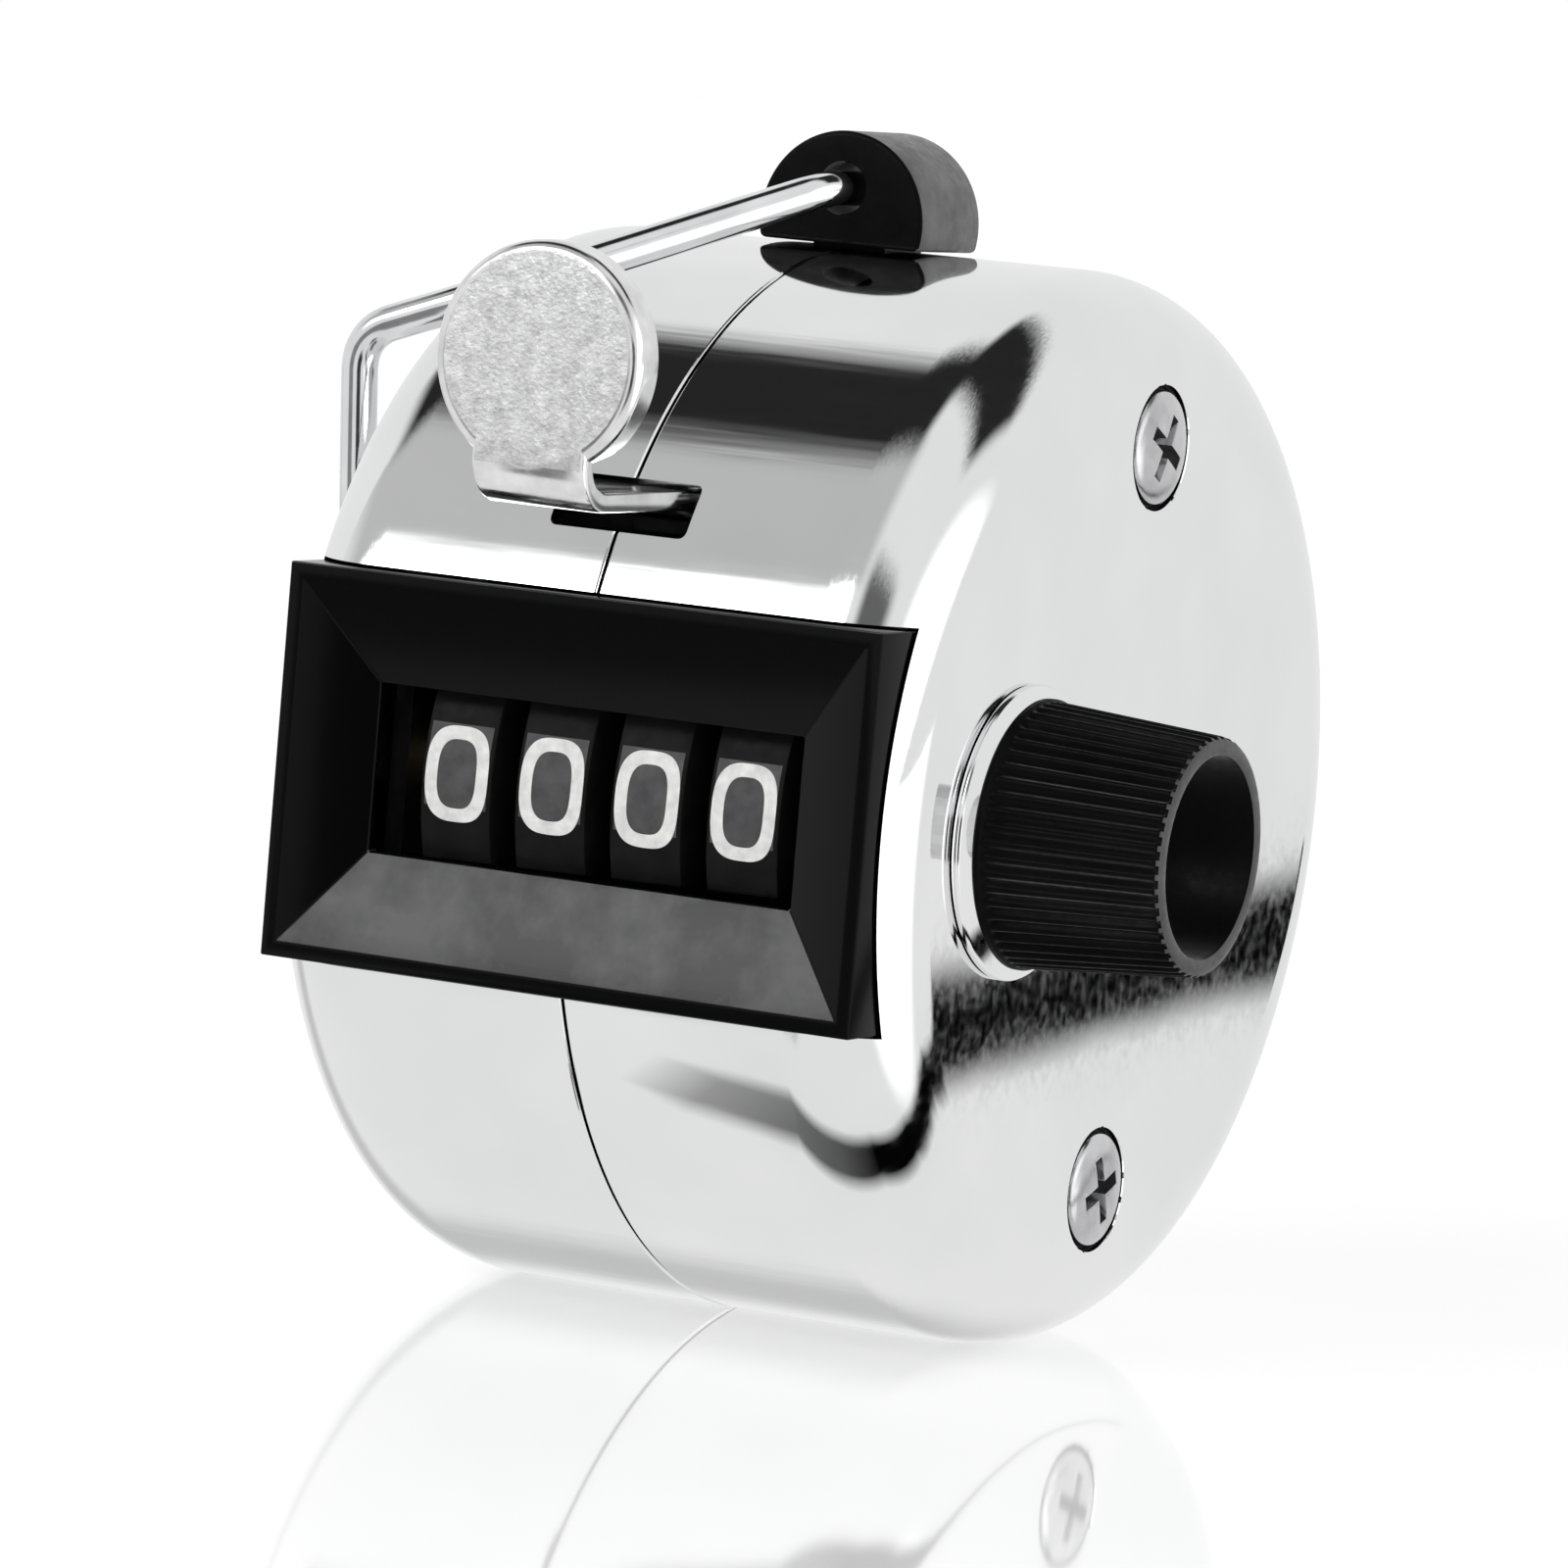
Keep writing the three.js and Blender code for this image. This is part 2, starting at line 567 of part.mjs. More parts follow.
part('thumb_lever', thumbLever(), satinSteel());
part('lever_pivot_pin', join(
  barX(PIVOT_PIN_RADIUS, -12.4, 12.4, PIVOT.y, PIVOT.z, 20),
  barX(1.5, -12.4, -11.9, PIVOT.y, PIVOT.z, 20),
), springSteel());
part('lever_pin_clip', cut(
  barX(1.7, 11.55, 11.95, PIVOT.y, PIVOT.z, 20),
  barX(PIVOT_PIN_RADIUS + 0.02, 11, 12.5, PIVOT.y, PIVOT.z, 20),
), springSteel());
part('pawl_pin', barX(PAWL_PIN_RADIUS, -10.42, 10.42, PAWL_PIVOT.y, PAWL_PIVOT.z, 16), springSteel());

/** Coil spring around an X axis with two straight legs, each given by the [y, z] where it ends. */
function torsionSpring({ x, y, z, radius, wireRadius, turns, pitch, startAngle, legs }) {
  const points = [];
  const stepsPerTurn = 10;
  const total = Math.round(turns * stepsPerTurn);
  for (let i = 0; i <= total; i += 1) {
    const angle = startAngle + (2 * Math.PI * i) / stepsPerTurn;
    const along = x + (pitch * i) / stepsPerTurn;
    points.push(new THREE.Vector3(along, y + radius * Math.cos(angle), z + radius * Math.sin(angle)));
  }
  points.unshift(new THREE.Vector3(x, ...legs[0]));
  points.push(new THREE.Vector3(x + turns * pitch, ...legs[1]));
  const curve = new THREE.CatmullRomCurve3(points, false, 'centripetal');
  return wire(curve, wireRadius, total + 8, 5);
}

part('lever_return_spring', torsionSpring({
  x: 4, y: PIVOT.y, z: PIVOT.z, radius: 1.95, wireRadius: 0.22, turns: 4.5, pitch: 0.62,
  startAngle: Math.PI / 2, legs: [[-8.2, 14.8], [-6.4, 12.2]],
}), springSteel());

/** Comb pawl: a hub on its pin, a cross bar and one hooked finger in each wheel's ratchet lane. */
function drivePawl() {
  const hub = barX(1.15, -9.3, 9.3, PAWL_PIVOT.y, PAWL_PIVOT.z, 16);
  const fingers = WHEEL_NAMES.map((name, i) => {
    const lane = FIRST_WHEEL_X + i * WHEEL.pitch + WHEEL.drum + 0.3;
    const back = 0.2 * (WHEEL_NAMES.length - 1 - i);          // the comb is stepped, the units finger is longest
    const tip = [SHAFT_Y - 0.75 - back, -6.75 - back];
    const outline = [
      [PAWL_PIVOT.y - 0.6, PAWL_PIVOT.z + 0.9],
      [tip[0] + 1.5, tip[1] - 0.75],
      [tip[0] + 0.75, tip[1]],
      [tip[0], tip[1]],
      [tip[0] - 0.5, tip[1] - 1.2],
      [PAWL_PIVOT.y - 1, PAWL_PIVOT.z - 0.4],
    ];
    return plateX(outline, lane, lane + 0.6);
  });
  return cut(join(hub, ...fingers), barX(PAWL_PIN_RADIUS + RUNNING_GAP, -12, 12, PAWL_PIVOT.y, PAWL_PIVOT.z, 16));
}

part('drive_pawl', drivePawl(), zincSteel());
part('pawl_spring', torsionSpring({
  x: -2.9, y: PAWL_PIVOT.y, z: PAWL_PIVOT.z, radius: 1.5, wireRadius: 0.16, turns: 3.5, pitch: 0.45,
  startAngle: -Math.PI / 2, legs: [[-7.6, -13.4], [-3.6, -9.4]],
}), springSteel());

// ---------------------------------------------------------------- detent comb

/** Round rod between the plates with a flat that the detent comb is screwed to. */
function detentRod() {
  const rod = barX(1.7, -PLATE.inner + 0.03, PLATE.inner - 0.03, 3.6, 9.8, 20);
  const necks = barX(0.7, -PLATE.inner - 0.9, PLATE.inner + 0.9, 3.6, 9.8, 16);
  const flat = box([-12, -2, 1], [12, 2, 3]).rotateX(radians(35)).translate(0, 3.6, 9.8);
  return join(cut(rod, flat), necks);
}

part('detent_rod', detentRod(), zincSteel());

/** Leaf comb, one springy finger over each ratchet. */
function detentComb() {
  const base = box([-8.4, -1.5, 0], [9.6, 1.4, 0.25]);
  const fingers = WHEEL_NAMES.map((name, i) => {
    const lane = FIRST_WHEEL_X + i * WHEEL.pitch + WHEEL.drum + 0.25;
    return box([lane, -10, 0], [lane + 0.7, -1.2, 0.25]);
  });
  const comb = join(base, ...fingers);
  return comb.rotateX(radians(35)).translate(0, 3.6 - 1.1 * Math.sin(radians(35)), 9.8 + 1.1 * Math.cos(radians(35)));
}

part('detent_spring', detentComb(), springSteel());
for (const [sideName, x] of [['left', -7.2], ['right', 8]]) {
  const head = new THREE.CylinderGeometry(0.85, 0.85, 0.5, 16).rotateX(Math.PI / 2).translate(x, 0, 1.65);
  part(`${sideName}_detent_screw`, head.rotateX(radians(35)).translate(0, 3.6, 9.8), zincSteel());
}

// ---------------------------------------------------------------- ring holder and finger ring

/** D-shaped plastic block on the seam, with a neck and foot held between the two shells. */
function ringHolder() {
  const outline = barY(HOLDER.radius, HOLDER.front, HOLDER.back, 0, HOLDER.z, 40);
  const keepAbove = box([-6, -6, HOLDER.foot + 0.05], [6, 8, 30]);
  const block = common(outline, keepAbove);
  const neck = box([-1.65, -1.15, 20.8], [1.65, 2.15, HOLDER.foot + 1]);
  const foot = box([-3, -1.9, 19.9], [3, 2.9, 20.85]);
  const hole = barY(RING_HOLE, -5, 8, 0, RING_AXIS_Z, 24);
  return cut(join(block, neck, foot), hole);
}

part('ring_holder', ringHolder(), mattBlack());

/** Finger ring: one length of wire, butted inside the holder, whose two legs spread round the front and the
    back of the case to a wide loop beside the left shell. */
function fingerRing() {
  const middle = (HOLDER.front + HOLDER.back) / 2;
  const halfRoute = (side) => [
    { x: 0, out: 0.05, z: RING_AXIS_Z },
    { x: 0, out: 3.85, z: RING_AXIS_Z, bend: 1.2 },
    { x: -8.9, out: 13.5, z: 19.45, bend: 3.4 },
    { x: -15.7, out: 13.7, z: 17, bend: 1.6 },
    { x: -15.3, out: 13.4, z: 9, bend: 3.6 },
    { x: -16.8, out: 9.8, z: 3.8, bend: 2.4 },
  ].map(({ x, out, z, bend }) => ({ at: new THREE.Vector3(x, middle + side * out, z), bend }));
  const route = [...halfRoute(-1), ...halfRoute(1).reverse()];
  return wire(bentPath(route), WIRE_RADIUS, 96, 8);
}

part('finger_ring', fingerRing(), polishedWire());

// ---------------------------------------------------------------- stand on the small flat

counter.position.set(0, 0, STAND_HEIGHT);

export default counter;
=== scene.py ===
import json
import math

import bmesh
import bpy
from mathutils import Matrix, Quaternion, Vector

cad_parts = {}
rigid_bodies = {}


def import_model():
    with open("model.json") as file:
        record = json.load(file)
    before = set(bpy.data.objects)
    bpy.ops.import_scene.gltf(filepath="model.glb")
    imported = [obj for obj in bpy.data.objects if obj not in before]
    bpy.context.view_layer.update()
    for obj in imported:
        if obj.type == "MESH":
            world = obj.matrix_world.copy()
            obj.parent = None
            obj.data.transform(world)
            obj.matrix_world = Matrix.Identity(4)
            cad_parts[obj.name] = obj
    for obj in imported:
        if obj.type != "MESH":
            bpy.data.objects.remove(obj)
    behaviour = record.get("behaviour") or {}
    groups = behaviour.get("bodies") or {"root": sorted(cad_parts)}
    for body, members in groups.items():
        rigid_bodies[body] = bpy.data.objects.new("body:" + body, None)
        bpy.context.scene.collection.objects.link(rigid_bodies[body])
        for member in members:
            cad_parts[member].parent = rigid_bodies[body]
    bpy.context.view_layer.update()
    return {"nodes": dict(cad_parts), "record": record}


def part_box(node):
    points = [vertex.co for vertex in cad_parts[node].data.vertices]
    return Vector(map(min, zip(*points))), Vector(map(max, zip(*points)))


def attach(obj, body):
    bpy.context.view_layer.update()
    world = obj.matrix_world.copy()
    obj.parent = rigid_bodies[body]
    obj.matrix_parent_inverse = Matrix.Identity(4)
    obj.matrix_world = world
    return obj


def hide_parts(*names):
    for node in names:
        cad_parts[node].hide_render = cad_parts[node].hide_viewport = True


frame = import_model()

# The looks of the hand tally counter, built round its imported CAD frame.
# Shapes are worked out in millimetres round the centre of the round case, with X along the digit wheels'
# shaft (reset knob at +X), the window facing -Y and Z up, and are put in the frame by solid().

MM = 0.001

# -------- sizes read from the frame


def cad_box(node):
    """A CAD node's lowest and highest corners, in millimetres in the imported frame."""
    low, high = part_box(node)
    return low / MM, high / MM


case_low, case_high = cad_box("left_case_half")
bezel_low, bezel_high = cad_box("window_bezel")
knob_low, knob_high = cad_box("reset_knob")
washer_low, washer_high = cad_box("knob_washer")
wheel_low, wheel_high = cad_box("thousands_wheel")
second_low = cad_box("hundreds_wheel")[0]
lever_low = cad_box("thumb_lever")[0]
holder_low, holder_high = cad_box("ring_holder")
screw_high = cad_box("right_upper_case_screw")[1]

CASE_R = 22.0
LIFT = case_high.z - CASE_R              # height of the case centre
CASE_HALF_WIDTH = -case_low.x
RIM_R = 4.4
WALL = 0.8
SEAM = {"left": 0.05, "right": 0.17}     # x of each shell's edge

SHAFT_Y = (wheel_low.y + wheel_high.y) / 2
WHEEL_R = (wheel_high.y - wheel_low.y) / 2
WHEEL_WIDTH = wheel_high.x - wheel_low.x
WHEEL_PITCH = second_low.x - wheel_low.x
DRUM_WIDTH = 3.2
WHEELS = ["thousands", "hundreds", "tens", "units"]

SCREW_Z = 15.15
SCREW_HEAD_R = 2.35
SEAT_R = 2.55
SEAT_DEPTH = 0.35
SHANK_HOLE_R = 1.2
SHAFT_HOLE_R = 2.1
SEAM_SOFT = 0.14                         # rounding at each shell's edge on the seam
BEZEL_GAP = 0.12                         # between the bezel and the cut-out behind it
BEZEL_LAP = 0.75                         # how far the bezel covers the shell above and below
FRONT_CUT = (-30, -12)                   # y range of the cutters that open the front wall

PIVOT_Y = -13.0                          # thumb lever's pivot
PIVOT_Z = 12.5
SLOT_X = (-2.93, 3.17)                   # the slot that the lever comes out of
SLOT_Z = (10.6, 12.7)
HOLDER_R = (holder_high.x - holder_low.x) / 2
RING_AXIS_Z = 24.4
WIRE_R = 0.75

# -------- mesh helpers


def solid(name, points, faces, crease_angle=35):
    """A smooth-shaded mesh object from points in millimetres round the case centre."""
    mesh = bpy.data.meshes.new(name)
    placed = [(x * MM, y * MM, (z + LIFT) * MM) for x, y, z in points]
    mesh.from_pydata(placed, [], faces)
    mesh.update()
    obj = bpy.data.objects.new(name, mesh)
    bpy.context.scene.collection.objects.link(obj)
    tidy(obj)
    shade(obj, crease_angle)
    return obj


def tidy(obj):
    """Merges doubled points and turns every face outwards."""
    bm = bmesh.new()
    bm.from_mesh(obj.data)
    bmesh.ops.remove_doubles(bm, verts=bm.verts, dist=1e-7)
    bmesh.ops.dissolve_degenerate(bm, edges=bm.edges, dist=1e-8)
    bmesh.ops.recalc_face_normals(bm, faces=bm.faces)
    bm.to_mesh(obj.data)
    bm.free()


def shade(obj, crease_angle=35):
    """Smooth shading with hard edges above the crease angle, in degrees."""
    for face in obj.data.polygons:
        face.use_smooth = True
    obj.data.set_sharp_from_angle(angle=math.radians(crease_angle))


def finished(obj):
    """Applies the object's modifiers."""
    graph = bpy.context.evaluated_depsgraph_get()
    mesh = bpy.data.meshes.new_from_object(obj.evaluated_get(graph))
    obj.modifiers.clear()
    old = obj.data
    obj.data = mesh
    bpy.data.meshes.remove(old)


def boolean(obj, cutters, operation="DIFFERENCE"):
    """Cuts every cutter out of obj, or joins them to it, and deletes them."""
    for cutter in cutters:
        modifier = obj.modifiers.new("cut", "BOOLEAN")
        modifier.object = cutter
        modifier.operation = operation
        modifier.solver = "EXACT"
        finished(obj)
        bpy.data.objects.remove(cutter)
    return obj


def bevel(obj, width, segments=3, angle=30):
    """Rounds the hard edges by a width in millimetres."""
    modifier = obj.modifiers.new("bevel", "BEVEL")
    modifier.width = width * MM
    modifier.segments = segments
    modifier.limit_method = "ANGLE"
    modifier.angle_limit = math.radians(angle)
    modifier.use_clamp_overlap = True
    modifier.harden_normals = False
    finished(obj)
    shade(obj, angle)


def joined(name, parts):
    """One object made of several, keeping each one's materials."""
    for other in bpy.context.view_layer.objects:
        other.select_set(False)
    for part in parts:
        part.select_set(True)
    bpy.context.view_layer.objects.active = parts[0]
    bpy.ops.object.join()
    parts[0].name = name
    parts[0].data.name = name
    return parts[0]


def arc(centre, radius, start, end, steps):
    """Points on an arc, angles in degrees."""
    points = []
    for i in range(steps + 1):
        angle = math.radians(start + (end - start) * i / steps)
        points.append((centre[0] + radius * math.cos(angle), centre[1] + radius * math.sin(angle)))
    return points


def skin(rings):
    """Four-sided faces between each ring of point numbers and the next."""
    faces = []
    for a, b in zip(rings, rings[1:]):
        for i in range(len(a)):
            j = (i + 1) % len(a)
            faces.append((a[i], a[j], b[j], b[i]))
    return faces


def turned(name, profile, segments=96, y=0.0, z=0.0, flutes=0, flute_depth=None, crease_angle=35):
    """A closed profile of (x, radius) points turned about the X axis through (y, z).
    With flutes, flute_depth(x, radius) is how deep the grooves are there."""
    rings = []
    points = []
    for x, radius in profile:
        if radius < 1e-6:
            rings.append([len(points)] * segments)
            points.append((x, y, z))
            continue
        ring = []
        for i in range(segments):
            angle = 2 * math.pi * i / segments
            r = radius
            if flutes:
                wave = 0.5 - 0.5 * math.cos(flutes * angle)
                r -= flute_depth(x, radius) * wave ** 1.6
            ring.append(len(points))
            points.append((x, y + r * math.cos(angle), z + r * math.sin(angle)))
        rings.append(ring)
    faces = []
    for corners in skin(rings + rings[:1]):
        distinct = list(dict.fromkeys(corners))    # a ring on the axis is a single point
        if len(distinct) > 2:
            faces.append(distinct)
    return solid(name, points, faces, crease_angle)


def rod(x0, x1, radius, segments, y=0.0, z=0.0):
    """A plain cylinder along X, for cutting a bore."""
    return turned("rod", [(x0, 0), (x0, radius), (x1, radius), (x1, 0)], segments, y, z)


def block(name, low, high):
    """A box between two corners."""
    (x0, y0, z0), (x1, y1, z1) = low, high
    points = [(x, y, z) for x in (x0, x1) for y in (y0, y1) for z in (z0, z1)]
    faces = [(0, 1, 3, 2), (4, 6, 7, 5), (0, 4, 5, 1), (2, 3, 7, 6), (0, 2, 6, 4), (1, 5, 7, 3)]
    return solid(name, points, faces)


def prism(name, outline, place, depth, crease_angle=35):
    """An outline of (u, v) points made thick; place(u, v, w) gives the point at depth w."""
    count = len(outline)
    points = [place(u, v, 0) for u, v in outline] + [place(u, v, depth) for u, v in outline]
    faces = [tuple(range(count)), tuple(range(2 * count - 1, count - 1, -1))]
    for i in range(count):
        j = (i + 1) % count
        faces.append((i, j, count + j, count + i))
    return solid(name, points, faces, crease_angle)


def tube(name, path, radius, sides=20, crease_angle=50):
    """A round wire along a list of points, with flat ends."""
    path = [Vector(p) for p in path]
    tangents = []
    for i in range(len(path)):
        before = path[max(i - 1, 0)]
        after = path[min(i + 1, len(path) - 1)]
        tangents.append((after - before).normalized())
    across = tangents[0].orthogonal().normalized()
    points = []
    rings = []
    for i, (place, along) in enumerate(zip(path, tangents)):
        across = (across - along * across.dot(along)).normalized()
        over = along.cross(across)
        ring = []
        for k in range(sides):
            angle = 2 * math.pi * k / sides
            ring.append(len(points))
            points.append(place + radius * (math.cos(angle) * across + math.sin(angle) * over))
        rings.append(ring)
    faces = [tuple(rings[0]), tuple(reversed(rings[-1]))] + skin(rings)
    return solid(name, points, faces, crease_angle)


# -------- material helpers


def math_node(tree, operation, a, b):
    """The result of a math node; a and b are numbers or sockets."""
    node = tree.nodes.new("ShaderNodeMath")
    node.operation = operation
    for i, value in enumerate((a, b)):
        if isinstance(value, (int, float)):
            node.inputs[i].default_value = value
        else:
            tree.links.new(value, node.inputs[i])
    return node.outputs[0]


class Paint:
    """A node material with its principled shader, and short calls for the nodes that feed it."""

    def __init__(self, name, color, roughness, metallic=0.0, **sockets):
        self.material = bpy.data.materials.new(name)
        self.material.use_nodes = True
        self.nodes = self.material.node_tree.nodes
        self.links = self.material.node_tree.links
        self.shader = self.nodes["Principled BSDF"]
        self.shader.inputs["Base Color"].default_value = (*color, 1)
        self.shader.inputs["Roughness"].default_value = roughness
        self.shader.inputs["Metallic"].default_value = metallic
        for socket, value in sockets.items():
            self.shader.inputs[socket.replace("_", " ")].default_value = value
        self.place = self.nodes.new("ShaderNodeTexCoord").outputs["Object"]

    def stretched(self, scale):
        """The object's own coordinates, scaled on each axis."""
        mapping = self.nodes.new("ShaderNodeMapping")
        mapping.inputs["Scale"].default_value = scale
        self.links.new(self.place, mapping.inputs["Vector"])
        return mapping.outputs["Vector"]

    def noise(self, size, detail=3.0, roughness=0.55, stretch=None):
        """Noise whose blotches are about size millimetres across."""
        node = self.nodes.new("ShaderNodeTexNoise")
        node.inputs["Scale"].default_value = 1 / (size * MM)
        node.inputs["Detail"].default_value = detail
        node.inputs["Roughness"].default_value = roughness
        self.links.new(self.stretched(stretch) if stretch else self.place, node.inputs["Vector"])
        return node.outputs["Fac"]

    def ramp(self, value, low, high, start=0.3, end=0.7):
        """Maps a value onto a range of numbers."""
        node = self.nodes.new("ShaderNodeMapRange")
        node.inputs["From Min"].default_value = start
        node.inputs["From Max"].default_value = end
        node.inputs["To Min"].default_value = low
        node.inputs["To Max"].default_value = high
        self.links.new(value, node.inputs["Value"])
        return node.outputs["Result"]

    def facing_up(self):
        """How far the surface faces upwards, from -1 to 1."""
        split = self.nodes.new("ShaderNodeSeparateXYZ")
        self.links.new(self.place.node.outputs["Normal"], split.inputs[0])
        return split.outputs["Z"]

    def math(self, operation, a, b):
        return math_node(self.material.node_tree, operation, a, b)

    def color(self, value, low, high, start=0.3, end=0.7):
        """Feeds the base colour from dark to light as the value rises."""
        node = self.nodes.new("ShaderNodeValToRGB")
        node.color_ramp.elements[0].position = start
        node.color_ramp.elements[0].color = (*low, 1)
        node.color_ramp.elements[1].position = end
        node.color_ramp.elements[1].color = (*high, 1)
        self.links.new(value, node.inputs["Fac"])
        self.links.new(node.outputs["Color"], self.shader.inputs["Base Color"])

    def roughness(self, value):
        self.links.new(value, self.shader.inputs["Roughness"])

    def bump(self, height, depth, strength=1.0):
        """Adds relief; depth is in millimetres. Calls stack up."""
        node = self.nodes.new("ShaderNodeBump")
        node.inputs["Strength"].default_value = strength
        node.inputs["Distance"].default_value = depth * MM
        self.links.new(height, node.inputs["Height"])
        normal = self.shader.inputs["Normal"]
        if normal.is_linked:
            self.links.new(normal.links[0].from_socket, node.inputs["Normal"])
        self.links.new(node.outputs["Normal"], normal)


def dress(obj, paint):
    """Gives the object one material."""
    obj.data.materials.clear()
    obj.data.materials.append(paint.material)
    return obj


def dress_in_two(obj, paint, other, is_other):
    """Gives the object one material, and another to the faces that the test picks by centre and normal."""
    dress(obj, paint)
    obj.data.materials.append(other.material)
    for face in obj.data.polygons:
        x, y, z = face.center / MM
        face.material_index = 1 if is_other(x, y, z - LIFT, face.normal) else 0
    return obj


# -------- materials


def chrome_plate():
    """Bright plate on a drawn shell: a mirror with slight waves from the pressing and faint hairlines."""
    paint = Paint("chrome_plate", (0.84, 0.845, 0.85), 0.05, 1.0)
    paint.color(paint.noise(9, 2), (0.81, 0.815, 0.82), (0.87, 0.87, 0.875))
    hairlines = paint.noise(0.5, 2, stretch=(0.08, 1, 1))
    paint.roughness(paint.ramp(hairlines, 0.03, 0.09))
    paint.bump(paint.noise(7, 1), 0.009)
    paint.bump(paint.noise(1.1, 2), 0.0004)
    return paint


def bright_wire():
    paint = Paint("bright_wire", (0.8, 0.81, 0.82), 0.07, 1.0)
    paint.color(paint.noise(3, 2), (0.7, 0.71, 0.72), (0.86, 0.86, 0.87))
    paint.roughness(paint.ramp(paint.noise(0.4, 2), 0.05, 0.14))
    paint.bump(paint.noise(1.6, 2), 0.008)
    return paint


def satin_plate():
    """Fine blasted face of the thumb pad."""
    paint = Paint("satin_plate", (0.62, 0.62, 0.62), 0.4, 0.85)
    blotches = paint.noise(0.75, 6, 0.75)
    paint.color(blotches, (0.42, 0.42, 0.42), (0.8, 0.8, 0.8), 0.3, 0.72)
    paint.roughness(paint.ramp(paint.noise(0.35, 3), 0.32, 0.62))
    paint.bump(paint.noise(0.16, 3), 0.03)
    paint.bump(paint.noise(0.9, 3), 0.02)
    return paint


def polished_lever():
    paint = Paint("polished_lever", (0.8, 0.8, 0.8), 0.14, 1.0)
    paint.color(paint.noise(1.4, 4), (0.68, 0.68, 0.68), (0.88, 0.88, 0.88))
    paint.roughness(paint.ramp(paint.noise(0.6, 3, stretch=(1, 0.15, 1)), 0.1, 0.24))
    paint.bump(paint.noise(1.2, 2), 0.006)
    return paint


def gloss_black():
    """Glossy moulded plastic of the bezel, lighter in smears on the slope that faces up: a film of dust and a
    painted sheen.
    """
    paint = Paint("gloss_black", (0.003, 0.003, 0.0033), 0.17, Specular_IOR_Level=0.1)
    smears = paint.noise(3.2, 4, 0.6)
    lower_slope = paint.ramp(paint.facing_up(), 0, 1, 0.18, 0.3)
    not_top = paint.ramp(paint.facing_up(), 1, 0, 0.5, 0.8)
    # The up-facing lower slope is lighter: dust and a painted sheen.
    dust_and_sheen_slope = paint.math("MULTIPLY", lower_slope, not_top)
    dust_and_sheen = paint.math("MULTIPLY", dust_and_sheen_slope, paint.ramp(smears, 1, 0.55, 0.42, 0.62))
    paint.color(dust_and_sheen, (0.0016, 0.0016, 0.0018), (0.1, 0.1, 0.102), 0, 1)
    paint.roughness(paint.ramp(dust_and_sheen, 0.16, 0.4, 0, 1))
    paint.bump(paint.noise(1.4, 2), 0.004)
    return paint


def fine_black():
    """Semi-matt moulded plastic of the knob and the front of the ring holder."""
    paint = Paint("fine_black", (0.002, 0.002, 0.002), 0.42, Specular_IOR_Level=0.05)
    paint.color(paint.noise(2, 3), (0.001, 0.001, 0.001), (0.003, 0.003, 0.0031))
    paint.roughness(paint.ramp(paint.noise(0.4, 3), 0.34, 0.52))
    paint.bump(paint.noise(0.12, 2), 0.006)
    return paint


def worn_black(name, dark, light):
    """Black plastic in a lighter grey: a painted sheen on the ring holder's side, and the knob's end face."""
    paint = Paint(name, dark, 0.4, Specular_IOR_Level=0.5)
    paint.color(paint.noise(1.8, 4), dark, light)
    paint.roughness(paint.ramp(paint.noise(0.4, 3), 0.3, 0.5))
    paint.bump(paint.noise(0.12, 2), 0.006)
    return paint


def wheel_black():
    paint = Paint("wheel_black", (0.006, 0.006, 0.0065), 0.45, Specular_IOR_Level=0.06)
    paint.color(paint.noise(1.5, 3), (0.004, 0.004, 0.0045), (0.008, 0.008, 0.0085))
    paint.roughness(paint.ramp(paint.noise(0.5, 2), 0.38, 0.55))
    paint.bump(paint.noise(0.2, 2), 0.006)
    return paint


def digit_paint():
    paint = Paint("digit_paint", (0.6, 0.6, 0.58), 0.5, Specular_IOR_Level=0.3)
    paint.color(paint.noise(0.5, 4), (0.5, 0.5, 0.49), (0.68, 0.68, 0.66))
    paint.roughness(paint.ramp(paint.noise(0.3, 2), 0.42, 0.6))
    paint.bump(paint.noise(0.15, 2), 0.004)
    return paint


def digit_ground():
    paint = Paint("digit_ground", (0.05, 0.05, 0.052), 0.5, Specular_IOR_Level=0.2)
    paint.color(paint.noise(0.8, 4), (0.04, 0.04, 0.042), (0.07, 0.07, 0.072))
    paint.roughness(paint.ramp(paint.noise(0.3, 2), 0.42, 0.6))
    return paint


def plain_metal(name, dark, light, rough_low, rough_high, grain=0.3):
    """Worked metal with fine tool marks round the X axis."""
    paint = Paint(name, light, rough_low, 1.0)
    paint.color(paint.noise(2.5, 4), dark, light)
    paint.roughness(paint.ramp(paint.noise(grain, 3, stretch=(1, 0.2, 0.2)), rough_low, rough_high))
    paint.bump(paint.noise(grain, 3, stretch=(1, 0.2, 0.2)), 0.006)
    return paint


CHROME = chrome_plate()
WIRE = bright_wire()
SATIN = satin_plate()
POLISHED = polished_lever()
GLOSS_BLACK = gloss_black()
FINE_BLACK = fine_black()
# A painted sheen for the ring holder's side.
PAINTED_SIDE_SHEEN = worn_black("painted_side_sheen", (0.06, 0.06, 0.06), (0.14, 0.14, 0.14))
KNOB_END_GREY = worn_black("knob_end_grey", (0.03, 0.03, 0.03), (0.06, 0.06, 0.06))
WHEEL_BLACK = wheel_black()
DIGIT = digit_paint()
GROUND = digit_ground()
SCREW_STEEL = plain_metal("screw_steel", (0.4, 0.4, 0.41), (0.66, 0.66, 0.67), 0.14, 0.3)
GROUND_STEEL = plain_metal("ground_steel", (0.84, 0.84, 0.84), (0.9, 0.9, 0.9), 0.5, 0.65)
